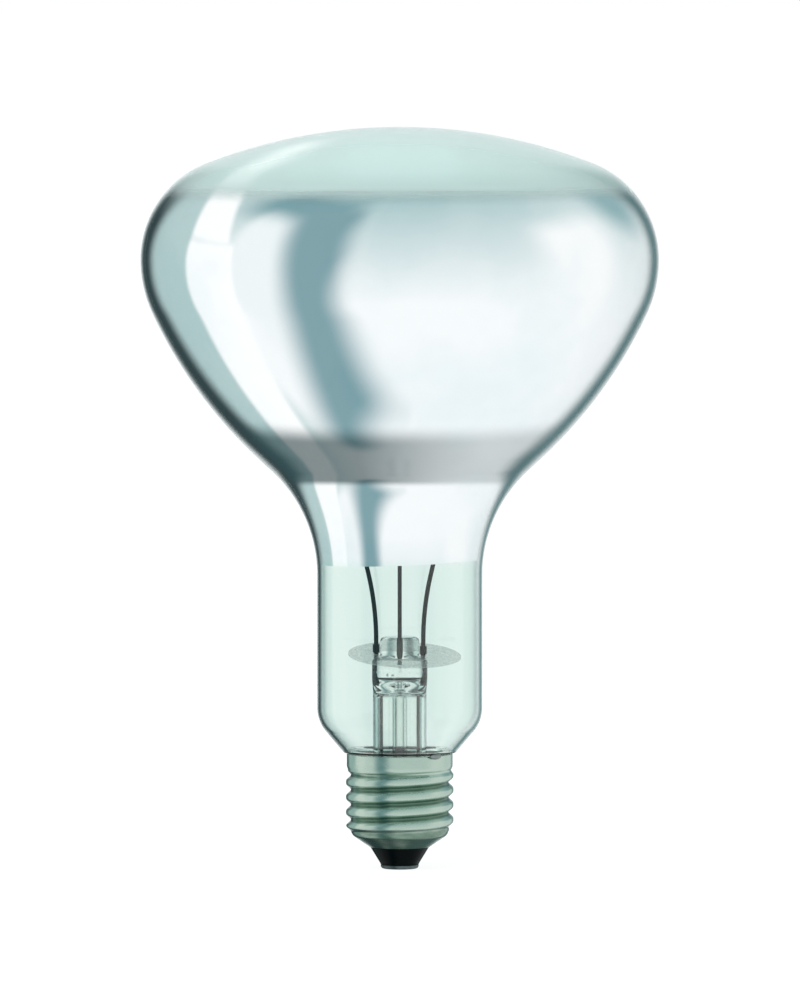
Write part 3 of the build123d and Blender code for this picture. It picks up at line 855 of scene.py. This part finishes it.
def bulb_outline(glass, inset):
    """Bulb from the apex down to the throat's top, moved inwards, with the throat's start angle."""
    turn_cosine = math.cos(glass.belly_turn)
    slope_cosine = math.cos(glass.flank_slope)
    slope_sine = math.sin(glass.flank_slope)
    rise = glass.bulb_radius - glass.neck_radius - glass.throat_run * slope_sine
    rise = rise - glass.belly_radius * (1 - turn_cosine) - glass.throat_radius * (1 - slope_cosine)
    flank_radius = rise / (turn_cosine - slope_cosine)
    run_top = neck_top(glass) + glass.throat_radius * slope_sine + glass.throat_run * slope_cosine
    flank_level = run_top + flank_radius * slope_sine
    belly_level = flank_level - (flank_radius - glass.belly_radius) * math.sin(glass.belly_turn)
    flank_across = glass.bulb_radius - glass.belly_radius * (1 - turn_cosine) - flank_radius * turn_cosine
    rim_across = glass.bulb_radius - glass.rim_radius
    dome_level = belly_level - math.sqrt((glass.dome_radius - glass.rim_radius) ** 2 - rim_across ** 2)
    dome_turn = math.atan2(belly_level - dome_level, rim_across)
    flank_centre = (flank_across, flank_level)
    belly_centre = (glass.bulb_radius - glass.belly_radius, belly_level)
    dome = arc((0.0, dome_level), glass.dome_radius - inset, math.pi / 2, dome_turn, steps=22)
    dome[0] = (0.0, dome[0][1])
    below = arc(belly_centre, glass.belly_radius - inset, 0.0, -glass.belly_turn, steps=14)
    below += arc(flank_centre, flank_radius - inset, -glass.belly_turn, -glass.flank_slope, steps=28)
    rim_centre = (rim_across, belly_level)
    return dome, rim_centre, dome_turn, below


def neck_top(glass):
    """Height of the neck's top."""
    cosine = math.cos(glass.shoulder_slope)
    sine = math.sin(glass.shoulder_slope)
    start_radius = glass.neck_radius - glass.shoulder_radius * (1 - cosine)
    ledge_end_radius = glass.ledge_radius + glass.ledge_round * cosine
    ledge_end = glass.ledge_level + glass.ledge_round * (1 - sine)
    shoulder_start = ledge_end + (start_radius - ledge_end_radius) * cosine / sine
    return shoulder_start + glass.shoulder_radius * sine + glass.neck_length


def glass_outline(glass, inset):
    """Whole glass from the apex down to the seal, moved inwards."""
    dome, rim_centre, dome_turn, below = bulb_outline(glass, inset)
    top = neck_top(glass)
    bottom = top - glass.neck_length
    throat_centre = (glass.neck_radius + glass.throat_radius, top)
    shoulder_centre = (glass.neck_radius - glass.shoulder_radius, bottom)
    ledge_centre = (glass.ledge_radius, glass.ledge_level + glass.ledge_round)
    seat_top = glass.ledge_level - glass.seat_fillet
    fillet_centre = (glass.seat_radius + glass.seat_fillet, seat_top)
    neck_across = glass.neck_radius - inset
    seat_across = glass.seat_radius - inset
    row = dome + arc(rim_centre, glass.rim_radius - inset, dome_turn, 0.0, steps=26) + below
    row += arc(throat_centre, glass.throat_radius + inset, math.pi - glass.flank_slope, math.pi, steps=28)
    row += straight((neck_across, top), (neck_across, bottom), steps=10)
    row += arc(shoulder_centre, glass.shoulder_radius - inset, 0.0, -glass.shoulder_slope, steps=12)
    row += arc(ledge_centre, glass.ledge_round - inset, -glass.shoulder_slope, -math.pi / 2, steps=8)
    row += arc(fillet_centre, glass.seat_fillet + inset, math.pi / 2, math.pi, steps=10)
    row += straight((seat_across, seat_top), (seat_across, glass.seal_level), steps=4)
    return without_doubles(row)


def film_rings(glass, inset, lower_edge):
    """Rings of one side of the film from its front edge down to its lower edge."""
    dome, rim_centre, dome_turn, below = bulb_outline(glass, inset)
    upper = arc(rim_centre, glass.rim_radius - inset, glass.film_front, 0.0, steps=22) + below
    rings = turned_rings(without_doubles(upper), ROUND_STEPS)
    top = neck_top(glass)
    reach = glass.throat_radius + inset
    turns = turns_round(ROUND_STEPS)
    for share in np.linspace(0.0, 1.0, FILM_STEPS + 1):
        tilt = glass.flank_slope + (lower_edge - glass.flank_slope) * share
        radius = glass.neck_radius + glass.throat_radius - reach * np.cos(tilt)
        height = top + reach * np.sin(tilt)
        rings.append(np.column_stack([radius * np.cos(turns), radius * np.sin(turns), height]))
    return rings


def film_edge(glass, inset):
    """Angle on the throat's curve, for each step round, where the film's lower edge lies."""
    reach = glass.throat_radius + inset
    turns = turns_round(ROUND_STEPS)
    tilt = np.zeros(ROUND_STEPS)
    for repeat in range(EDGE_PASSES):
        radius = glass.neck_radius + glass.throat_radius - reach * np.cos(tilt)
        rise = glass.film_rise + radius * np.cos(turns) * math.tan(glass.film_tilt)
        tilt = np.arcsin(rise / reach)
    return tilt


def squircle_ring(half_width, half_depth, power, height, steps):
    """Ring between an ellipse and a rounded rectangle."""
    turns = turns_round(steps)
    cosine = np.cos(turns)
    sine = np.sin(turns)
    reach = (np.abs(cosine) ** power + np.abs(sine) ** power) ** (-1.0 / power)
    x = half_width * reach * cosine
    y = half_depth * reach * sine
    return np.column_stack([x, y, np.full(steps, height)])


def post_rings(mount):
    """Rings of the round post from its top down to its foot on the pinch."""
    shoulder = mount.post_top - POST_ROUND
    foot = mount.pinch_top + FOOT_ROUND
    row = [(0.0, mount.post_top)]
    row += arc((mount.post_radius - POST_ROUND, shoulder), POST_ROUND, math.pi / 2, 0.0, steps=7)
    row += straight((mount.post_radius, shoulder), (mount.post_radius, foot), steps=6)
    return turned_rings(without_doubles(row), STEM_STEPS)


def pinch_rings(mount):
    """Rings of the pinch: the post's foot, the rounded edge, the press marks and the turn to the tube."""
    half_width = mount.pinch_width / 2
    half_depth = mount.pinch_thickness / 2
    rings = []

    def ring(width, depth, squareness, level):
        power = ROUND_POWER + (PINCH_POWER - ROUND_POWER) * squareness
        rings.append(squircle_ring(width, depth, power, level, STEM_STEPS))

    for share in np.linspace(start=0.2, stop=1.0, num=5):
        grow = share ** 2
        width = mount.post_radius + (half_width - PINCH_ROUND - mount.post_radius) * grow
        depth = mount.post_radius + (half_depth - PINCH_ROUND - mount.post_radius) * grow
        ring(width, depth, share, mount.pinch_top + FOOT_ROUND * (1 - share) ** 2)
    for turn in np.linspace(math.pi / 2, 0.0, num=6)[1:]:
        inset = PINCH_ROUND * (1 - math.cos(turn))
        level = mount.pinch_top - PINCH_ROUND * (1 - math.sin(turn))
        ring(half_width - inset, half_depth - inset, 1.0, level)
    levels = np.linspace(mount.pinch_top - PINCH_ROUND, mount.pinch_bottom, num=15)[1:]
    for number, level in enumerate(levels):
        mark = PRESS_MARK * math.sin(number * math.pi / PRESS_SPACING) ** 2
        ring(half_width, half_depth - mark, 1.0, level)
    for share in np.linspace(0.0, 1.0, num=15)[1:]:
        ease = share * share * (3 - 2 * share)
        width = half_width + (mount.stem_radius - half_width) * ease
        depth = half_depth + (mount.stem_radius - half_depth) * ease
        level = mount.pinch_bottom + (mount.tube_top - mount.pinch_bottom) * share
        ring(width, depth, 1.0 - ease, level)
    return rings


def tube_profile(glass, mount):
    """Stem's tube and flare down the outside, then up the bore and down the exhaust tube to its tip."""
    flare_end = glass.seat_radius - glass.wall
    flare_radius = flare_end - mount.stem_radius
    flare_level = glass.seal_level + flare_radius
    flare_centre = (flare_end, flare_level)
    bottom = 1.5 * math.pi
    bore = mount.stem_radius - mount.stem_wall
    bore_top = mount.tube_top - INNER_ROUND
    fillet = INNER_ROUND / 2
    fillet_centre = (mount.exhaust_radius + fillet, mount.tube_top - fillet)
    shoulder = (mount.exhaust_radius, mount.exhaust_shoulder)
    tip_level = mount.exhaust_tip + TIP_ROUND
    row = straight((mount.stem_radius, mount.tube_top), (mount.stem_radius, flare_level), steps=8)[1:]
    row += arc(flare_centre, flare_radius, math.pi, bottom, steps=12)
    row += [(glass.seat_radius, glass.seal_level), (glass.seat_radius, glass.seal_level - mount.stem_wall)]
    row += arc(flare_centre, flare_radius + mount.stem_wall, bottom, math.pi, steps=12)
    row += straight((bore, flare_level), (bore, bore_top), steps=8)
    row += arc((bore - INNER_ROUND, bore_top), INNER_ROUND, 0.0, math.pi / 2, steps=6)
    row += arc(fillet_centre, fillet, math.pi / 2, math.pi, steps=5)
    row += straight((mount.exhaust_radius, bore_top), shoulder, steps=8)
    row += straight(shoulder, (TIP_ROUND, tip_level), steps=6)
    row += arc((0.0, tip_level), TIP_ROUND, 0.0, -math.pi / 2, steps=6)
    row[-1] = (0.0, row[-1][1])
    return without_doubles(row)


def stem_rings(glass, mount):
    """Rings of the stem's skin: post, pinch, tube and flare outside, then bore and exhaust tube."""
    return post_rings(mount) + pinch_rings(mount) + turned_rings(tube_profile(glass, mount), STEM_STEPS)


def exhaust_bore_profile(mount):
    """Hollow of the exhaust tube, with faces that point into it."""
    bore = mount.exhaust_radius - mount.exhaust_wall
    top = mount.tube_top + HOLLOW_RISE
    row = [(0.0, mount.exhaust_tip + HOLLOW_TIP), (bore, mount.exhaust_shoulder)]
    row += straight((bore, mount.exhaust_shoulder), (bore, mount.tube_top - HOLLOW_ROUND), steps=8)
    row += arc((bore - HOLLOW_ROUND, top - HOLLOW_ROUND), HOLLOW_ROUND, 0.0, math.pi / 2, steps=6)
    return without_doubles(row + [(0.0, top)])


def shell_profile(cap):
    """Sheet of the cap from the rim down the outside to the lip and back up the inside."""
    collar_bottom = cap.height - cap.collar_height
    step_bottom = collar_bottom - (cap.collar_radius - cap.root_radius)
    lip_turn = math.pi / 2 - cap.lip_angle
    turn_centre = (cap.root_radius - cap.turn_radius, cap.wall_bottom)
    rim_round = cap.sheet / 2

    def skin(inset):
        collar = cap.collar_radius - inset
        root = cap.root_radius - inset
        turn = cap.turn_radius - inset
        end = (turn_centre[0] + turn * math.cos(lip_turn), turn_centre[1] - turn * math.sin(lip_turn))
        lip = (cap.lip_radius, end[1] - (end[0] - cap.lip_radius) * math.tan(cap.lip_angle))
        row = straight((collar, cap.height - rim_round), (collar, collar_bottom + STEP_ROUND), steps=10)
        ease = STEP_ROUND / 4
        row += straight((collar - ease, collar_bottom), (root + ease, step_bottom), steps=5)
        row += straight((root, step_bottom - STEP_ROUND), (root, cap.wall_bottom), steps=62)
        row += arc(turn_centre, turn, 0.0, -lip_turn, steps=14)
        row += straight(end, lip, steps=8)
        return row

    outer = skin(0.0)
    inner = skin(cap.sheet)
    rim = arc((cap.collar_radius - rim_round, cap.height - rim_round), rim_round, math.pi, 0.0, steps=8)
    return without_doubles(rim + outer + list(reversed(inner)))


def insulator_profile(cap):
    """Black glass from inside the shell down to its lower face."""
    bore = 0.6 * MILLIMETRE
    edge = 0.35 * MILLIMETRE
    play = 0.1 * MILLIMETRE
    flange = 2.6 * MILLIMETRE
    flange_foot = 2.4 * MILLIMETRE
    flange_rise = 0.5 * MILLIMETRE
    taper_share = 0.93
    waist = cap.lip_radius - cap.waist_inset
    foot = cap.contact_radius + play
    foot_level = cap.contact_thickness
    waist_level = foot_level + taper_share * (cap.lip_level - foot_level)
    inside = cap.lip_radius + play
    row = [(bore, cap.wall_bottom), (inside + flange, cap.wall_bottom)]
    row += [(inside + flange_foot, cap.lip_level + flange)]
    row += [(inside, cap.lip_level + flange_rise), (cap.lip_radius, cap.lip_level)]
    row += straight((cap.lip_radius - edge / 2, cap.lip_level - edge / 3), (waist, waist_level), steps=3)
    row += straight((waist, waist_level), (foot, foot_level + edge), steps=12)
    row += arc((foot - edge, foot_level + edge), edge, 0.0, -math.pi / 2, steps=5)
    row += [(bore, foot_level)]
    return without_doubles(row)


def contact_profile(cap):
    """Contact plate with a rounded lower edge and a low ring round the solder."""
    flat = cap.contact_radius - cap.contact_round
    row = [(cap.plug_radius, cap.contact_thickness), (cap.contact_radius, cap.contact_thickness)]
    row += arc((flat, cap.contact_round), cap.contact_round, 0.0, -math.pi / 2, steps=10)
    row += straight((flat, 0.0), (cap.plug_radius, 0.0), steps=5)
    return without_doubles(row)


def frost_front(mesh, glass, start):
    """Mark the inner skin over the film's front edge as frosted."""
    outer_points = 1 + (len(glass_outline(glass, 0.0)) - 1) * ROUND_STEPS
    layer = mesh.attributes.new("front_frost", "FLOAT", "POINT")
    for number in range(outer_points, len(mesh.vertices)):
        share = (mesh.vertices[number].co.z - start) / FILM_FADE
        layer.data[number].value = min(1.0, max(0.0, share))


# Operators

class LAMP_OT_envelope(bpy.types.Operator):
    """Blow the glass of the bulb, throat and neck in one piece"""

    bl_idname = "lamp.envelope"
    bl_label = "Glass envelope"

    def execute(self, context):
        """Turn the outer and the inner skin of the glass into one closed wall."""
        given = settings()
        glass = given["glass"]
        finish = given["finish"]
        outer = glass_outline(glass, 0.0)
        inner = glass_outline(glass, glass.wall)
        rings = turned_rings(outer + list(reversed(inner)), ROUND_STEPS)
        film_bottom = neck_top(glass) + glass.film_rise
        front = Front(film_bottom, glass.front_level, finish.front_edge, finish.front_glass)
        depth = finish.bulb_depth
        material = glass_finish("bulb_glass", finish.neck_glass, depth, finish.bulb_density, front)
        mesh = skinned("bulb_envelope", rings)
        frost_front(mesh, glass, glass.front_level)
        placed("bulb_envelope", mesh, material, ["glass_bulb", "glass_throat", "glass_neck"])
        return {"FINISHED"}


class LAMP_OT_mirror(bpy.types.Operator):
    """Coat the inside of the bulb with a mirror film"""

    bl_idname = "lamp.mirror"
    bl_label = "Mirror film"

    def execute(self, context):
        """Lay the film between its front edge and its tilted lower edge."""
        given = settings()
        glass = given["glass"]
        near = glass.wall + glass.film_gap
        far = near + glass.film_thickness
        lower_edge = film_edge(glass, near)
        outside = film_rings(glass, near, lower_edge)
        inside = film_rings(glass, far, lower_edge)
        mesh = skinned("reflector_film", outside + list(reversed(inside)), closed=True)
        placed("reflector_film", mesh, mirror_finish(given["finish"]), ["mirror_coating"])
        return {"FINISHED"}


class LAMP_OT_stem(bpy.types.Operator):
    """Press the stem with its exhaust tube and bubbles"""

    bl_idname = "lamp.stem"
    bl_label = "Glass stem"

    def execute(self, context):
        """Skin the stem and put the hollows of the exhaust tube and the bubbles into it."""
        given = settings()
        mount = given["mount"]
        finish = given["finish"]
        material = glass_finish("stem_glass", finish.stem_glass, finish.stem_depth, finish.stem_density)
        skin = skinned("stem_skin", stem_rings(given["glass"], mount))
        hollow = skinned("exhaust_hollow", turned_rings(exhaust_bore_profile(mount), HOLLOW_STEPS))
        reach = mount.pinch_width / 2 - PINCH_MARGIN
        bubbles = run_tree("pinch_bubbles", bpy.data.meshes.new("bubble_seed"), bubble_tree(), {
            "Count": mount.bubbles,
            "Low corner": (-reach, -BUBBLE_DEPTH, mount.pinch_bottom - PINCH_MARGIN),
            "High corner": (reach, BUBBLE_DEPTH, mount.pinch_top - BUBBLE_DEPTH),
            "Radius": mount.bubble_radius,
            "Seed": BUBBLE_SEED,
            "Material": material,
        })
        mesh = joined("mount_stem", [skin, hollow, bubbles])
        placed("mount_stem", mesh, material, ["glass_stem", "exhaust_tube"])
        return {"FINISHED"}


class LAMP_OT_wires(bpy.types.Operator):
    """Finish the leads, supports and collars of the mount"""

    bl_idname = "lamp.wires"
    bl_label = "Wires"

    def execute(self, context):
        """Copy each group of wires from the frame with smooth shading."""
        finish = settings()["finish"]
        lead = metal_finish("lead_wire", finish.lead, roughness=0.42, grain=500.0, depth=0.00003)
        seal = metal_finish("seal_wire", finish.seal, roughness=0.6, grain=1400.0, depth=0.0002, metallic=0.7)
        thin = metal_finish("support_wire", finish.filament, roughness=0.38, grain=900.0, depth=0.00002)
        groups = (
            ("lead_wires", ["inner_lead_left", "inner_lead_right", "support_rod"], lead, "lead_wire"),
            ("seal_wires", ["seal_wire_left", "seal_wire_right"], seal, "seal_wire"),
            ("outer_leads", ["outer_lead_centre", "outer_lead_side"], lead, "outer_lead"),
            ("support_hooks", ["support_hook_1", "support_hook_2", "support_hook_3"], thin, "support_wire"),
            ("disc_collars", ["disc_collar_left", "disc_collar_right"], lead, "collar_metal"),
        )
        for name, nodes, material, slot in groups:
            placed(name, merged_copy(name, nodes), material, nodes)
        return {"FINISHED"}


class LAMP_OT_filament(bpy.types.Operator):
    """Wind the filament"""

    bl_idname = "lamp.filament"
    bl_label = "Filament"

    def execute(self, context):
        """Wind the wire round the arc between the leads."""
        given = settings()
        mount = given["mount"]
        tint = given["finish"].filament
        material = metal_finish("filament_wire", tint, roughness=0.4, grain=900.0, depth=0.00002)
        mesh = run_tree("filament_coil", bpy.data.meshes.new("coil_seed"), coil_tree(), {
            "Height": mount.filament_level,
            "Arc radius": mount.filament_radius,
            "Start": -mount.filament_tail,
            "Sweep": math.pi + 2 * mount.filament_tail,
            "Coil radius": mount.coil_radius,
            "Wire radius": mount.coil_wire,
            "Turns": mount.coil_turns,
            "Points per turn": COIL_POINTS,
            "Material": material,
        })
        placed("filament_coil", mesh, material, ["filament"])
        return {"FINISHED"}


class LAMP_OT_disc(bpy.types.Operator):
    """Finish the mica heat shield"""

    bl_idname = "lamp.disc"
    bl_label = "Heat shield"

    def execute(self, context):
        """Copy the disc from the frame with its streaked finish."""
        material = mica_finish(settings()["finish"])
        mesh = merged_copy("mica_disc", ["heat_shield_disc"])
        placed("mica_disc", mesh, material, ["heat_shield_disc"])
        return {"FINISHED"}


class LAMP_OT_shell(bpy.types.Operator):
    """Roll the screw shell with its thread"""

    bl_idname = "lamp.shell"
    bl_label = "Screw shell"

    def execute(self, context):
        """Turn the plain sheet and roll the thread into it."""
        given = settings()
        cap = given["cap"]
        material = cap_finish(given["finish"])
        blank = skinned("shell_blank", turned_rings(shell_profile(cap), ROUND_STEPS), closed=True)
        mesh = run_tree("threaded_shell", blank, thread_tree(), {
            "Pitch": cap.thread_pitch,
            "Depth": cap.thread_depth,
            "Phase": cap.thread_phase,
            "Bottom": cap.thread_bottom,
            "Top": cap.thread_top,
            "Fade": cap.thread_fade,
            "Material": material,
        })
        placed("threaded_shell", mesh, material, ["screw_shell"])
        return {"FINISHED"}


class LAMP_OT_base(bpy.types.Operator):
    """Make the insulator, the contact, the solder and the cement"""

    bl_idname = "lamp.base"
    bl_label = "Base"

    def execute(self, context):
        """Turn insulator and contact, and copy solder and cement from the frame."""
        given = settings()
        cap = given["cap"]
        finish = given["finish"]
        insulator = skinned("base_insulator", turned_rings(insulator_profile(cap), BASE_STEPS), closed=True)
        placed("base_insulator", insulator, black_glass_finish(finish), ["cap_insulator"])
        contact = skinned("contact_plate", turned_rings(contact_profile(cap), BASE_STEPS), closed=True)
        placed("contact_plate", contact, contact_finish(finish), ["centre_contact"])
        tin = finish.solder
        solder = metal_finish("solder", tin, roughness=0.4, grain=900.0, depth=0.00012, metallic=0.9)
        joints = ["centre_solder", "side_solder"]
        placed("solder_joints", merged_copy("solder_joints", joints), solder, joints)
        ring = merged_copy("cement_ring", ["cap_cement"])
        placed("cement_ring", ring, cement_finish(finish), ["cap_cement"])
        return {"FINISHED"}


def spot_share(tree, spot, look):
    """How much of a round spot shows in a direction."""
    turn = math.radians(spot.azimuth)
    level = math.radians(spot.elevation)
    centre = (math.cos(level) * math.sin(turn), -math.cos(level) * math.cos(turn), math.sin(level))
    node = add(tree, "ShaderNodeVectorMath", {0: look.direction, 1: centre}, operation="DOT_PRODUCT")
    away = calc(tree, "DEGREES", calc(tree, "ARCCOSINE", node.outputs["Value"]))
    return eased(tree, away, spot.radius - spot.soft, spot.radius + spot.soft, 1.0, 0.0)


def card_share(tree, card, look):
    """How much of a card shows in a direction."""
    if isinstance(card, Spot):
        return spot_share(tree, card, look)
    across = window(tree, look.azimuth, *card.azimuth, card.azimuth_soft)
    return product(tree, across, window(tree, look.elevation, *card.elevation, card.elevation_soft))


def crescent_share(tree, edges, look):
    """How much of the space inside one circle and outside another shows in a direction."""
    inside, outside = edges
    return product(tree, spot_share(tree, inside, look), less(tree, spot_share(tree, outside, look)))


def flag_share(tree, look):
    """How much of the standing flag, which lies between two circles, shows in a direction."""
    left, right = (less(tree, spot_share(tree, edge, look)) for edge in FLAG_EDGES)
    last = ranged(tree, look.elevation, low=-80.0, high=-40.0, start=24.0, end=-24.0)
    past = calc(tree, "SUBTRACT", look.azimuth, last)
    front = eased(tree, past, low=-8.0, high=8.0, start=1.0, end=0.0)
    back = eased(tree, look.azimuth, low=-120.0, high=-104.0)
    height = window(tree, look.elevation, low=-79.0, high=62.0, soft=8.0)
    return product(tree, left, right, front, back, height)


def strip_share(tree, look):
    """How much of the long bowed strip light, which lies between two circles, shows in a direction."""
    height = window(tree, look.elevation, low=-62.0, high=15.0, soft=4.0)
    return product(tree, crescent_share(tree, STRIP_EDGES, look), height)


def arch_share(tree, look):
    """How much of the strip light's arch behind the lamp, between two circles too, shows in a direction."""
    raised = eased(tree, look.elevation, low=11.0, high=19.0)
    forward = eased(tree, look.azimuth, low=-178.0, high=-174.0)
    return product(tree, crescent_share(tree, ARCH_EDGES, look), raised, forward)


def arch_light(tree, look):
    """Light of the arch, stronger where the bulb's front shows it than where the film does."""
    lean = calc(tree, "SUBTRACT", look.azimuth, product(tree, look.elevation, ARCH_LEAN))
    return blended(tree, eased(tree, lean, low=-170.0, high=-164.0), ARCH_GLARE, STRIP_LIGHT)


def floor_share(tree, look):
    """How much of the shade on the floor under and behind the lamp shows in a direction. It lies where
    the bulb's waist mirrors the floor, and is deeper on the left."""
    across, back, up = axes(tree, look.direction)
    depth = product(tree, less(tree, back), 2.0)
    lean = calc(tree, "DIVIDE", product(tree, up, up), depth)
    below = eased(tree, up, low=-0.5, high=-0.35, start=1.0, end=0.0)
    ring = eased(tree, lean, low=0.44, high=0.505)
    side = ranged(tree, across, low=-0.25, high=0.45, start=0.8, end=0.35)
    return product(tree, ring, below, side)


def make_world():
    """Plain white for the camera, and the studio's panels for what the lamp reflects and refracts."""
    world = bpy.data.worlds.new("studio")
    bpy.context.scene.world = world
    world.use_nodes = True
    tree = world.node_tree
    direction = add(tree, "ShaderNodeTexCoord").outputs["Generated"]
    x, y, z = axes(tree, direction)
    azimuth = calc(tree, "DEGREES", calc(tree, "ARCTAN2", x, product(tree, y, -1.0)))
    elevation = calc(tree, "DEGREES", calc(tree, "ARCSINE", z))
    look = Look(direction, azimuth, elevation)
    shown = blended(tree, ranged(tree, elevation, low=-35.0, high=80.0), ROOM_LOW, ROOM_HIGH)
    for card in STUDIO_CARDS:
        shown = blended(tree, card_share(tree, card, look), shown, card.colour)
    shown = blended(tree, flag_share(tree, look), shown, FLAG_CLOTH)
    shown = blended(tree, strip_share(tree, look), shown, STRIP_LIGHT)
    shown = blended(tree, arch_share(tree, look), shown, arch_light(tree, look))
    shown = blended(tree, floor_share(tree, look), shown, FLOOR_SHADE)
    camera_ray = add(tree, "ShaderNodeLightPath").outputs["Is Camera Ray"]
    shown = blended(tree, camera_ray, shown, WHITE)
    fill(tree, tree.nodes["Background"], {"Color": shown, "Strength": 1.0})


def floor_finish(tint, shadow_share):
    """Pale floor that is white in the picture apart from the lamp's shadow."""
    material, tree, shader, place = new_finish("studio_floor")
    grain = noise(tree, place, scale=3.0, detail=2.0)
    pale = tuple(min(1.0, part * FLOOR_GRAIN) for part in tint)
    fill(tree, shader, {
        "Base Color": blended(tree, grain, tint, pale),
        "Roughness": 0.9,
        "Specular IOR Level": 0.0,
    })
    white = add(tree, "ShaderNodeEmission", {"Strength": 1.1})
    camera_ray = add(tree, "ShaderNodeLightPath").outputs["Is Camera Ray"]
    share = product(tree, camera_ray, 1.0 - shadow_share)
    mix = add(tree, "ShaderNodeMixShader", {0: share, 1: shader.outputs[0], 2: white.outputs[0]})
    fill(tree, tree.nodes["Material Output"], {"Surface": mix.outputs[0]})
    return material


def make_floor(stage, tint):
    """Wide flat floor that isn't seen in the glass or the metal."""
    half = stage.floor_size
    corners = [(-half, -half, 0.0), (half, -half, 0.0), (half, half, 0.0), (-half, half, 0.0)]
    mesh = bpy.data.meshes.new("studio_floor")
    mesh.from_pydata(corners, [], [(0, 1, 2, 3)])
    mesh.materials.append(floor_finish(tint, stage.floor_shadow))
    floor = linked("studio_floor", mesh)
    floor.visible_glossy = False
    floor.visible_transmission = False


def soft_light(name, power, size, place, aim_level):
    """Soft square light that lights what is dull and isn't seen in the glass or the metal."""
    data = bpy.data.lights.new(name, "AREA")
    data.energy = power
    data.size = size
    light = linked(name, data)
    light.location = place
    aim = Vector((0.0, 0.0, aim_level))
    light.rotation_euler = (aim - light.location).to_track_quat("-Z", "Y").to_euler()
    light.visible_camera = False
    light.visible_glossy = False
    light.visible_transmission = False


def make_camera(stage):
    """Long lens in front of the lamp, a little over the horizon."""
    data = bpy.data.cameras.new("camera")
    data.lens = stage.lens
    data.sensor_width = stage.sensor
    data.clip_start, data.clip_end = CAMERA_CLIP
    camera = linked("camera", data)
    distance = stage.view_height * stage.lens / stage.sensor
    target = Vector((stage.aim_across, 0.0, stage.aim_level))
    back = Vector((0.0, -math.cos(stage.elevation), math.sin(stage.elevation)))
    camera.location = target + back * distance
    camera.rotation_euler = (-back).to_track_quat("-Z", "Y").to_euler()
    bpy.context.scene.camera = camera


class LAMP_OT_stage(bpy.types.Operator):
    """Set up floor, light and camera"""

    bl_idname = "lamp.stage"
    bl_label = "Studio"

    def execute(self, context):
        """Make the floor, the studio, the soft lights and the camera."""
        given = settings()
        stage = given["stage"]
        context.scene.view_settings.view_transform = "Standard"
        make_floor(stage, given["finish"].floor)
        make_world()
        soft_light("key_light", stage.key_power, stage.key_size, KEY_PLACE, stage.aim_level)
        soft_light("top_light", stage.top_power, stage.top_size, TOP_PLACE, stage.aim_level)
        make_camera(stage)
        return {"FINISHED"}


OPERATORS = (
    LAMP_OT_envelope,
    LAMP_OT_mirror,
    LAMP_OT_stem,
    LAMP_OT_wires,
    LAMP_OT_filament,
    LAMP_OT_disc,
    LAMP_OT_shell,
    LAMP_OT_base,
    LAMP_OT_stage,
)
GROUPS = (
    ("lamp_glass", GlassSettings),
    ("lamp_mount", MountSettings),
    ("lamp_cap", CapSettings),
    ("lamp_finish", FinishSettings),
    ("lamp_stage", StageSettings),
)


class LAMP_PT_build(bpy.types.Panel):
    """Buttons and sizes for the lamp"""

    bl_idname = "LAMP_PT_build"
    bl_label = "Heat lamp"
    bl_space_type = "VIEW_3D"
    bl_region_type = "UI"
    bl_category = "Heat lamp"

    def draw(self, context):
        """List the operators, then every size and colour."""
        for operator in OPERATORS:
            self.layout.operator(operator.bl_idname)
        for name, group in GROUPS:
            box = self.layout.box()
            box.label(text=group.__doc__)
            for key in group.__annotations__:
                box.prop(getattr(context.scene, name), key)


def register():
    """Register the classes and hang the property groups on the scene."""
    for name, group in GROUPS:
        bpy.utils.register_class(group)
        setattr(bpy.types.Scene, name, bpy.props.PointerProperty(type=group))
    for operator in OPERATORS:
        bpy.utils.register_class(operator)
    bpy.utils.register_class(LAMP_PT_build)


def unregister():
    """Take the classes and property groups away again."""
    bpy.utils.unregister_class(LAMP_PT_build)
    for operator in reversed(OPERATORS):
        bpy.utils.unregister_class(operator)
    for name, group in reversed(GROUPS):
        delattr(bpy.types.Scene, name)
        bpy.utils.unregister_class(group)


def main():
    """Build every piece and the stage."""
    register()
    bpy.ops.lamp.envelope()
    bpy.ops.lamp.mirror()
    bpy.ops.lamp.stem()
    bpy.ops.lamp.wires()
    bpy.ops.lamp.filament()
    bpy.ops.lamp.disc()
    bpy.ops.lamp.shell()
    bpy.ops.lamp.base()
    bpy.ops.lamp.stage()


if __name__ == "__main__":
    main()
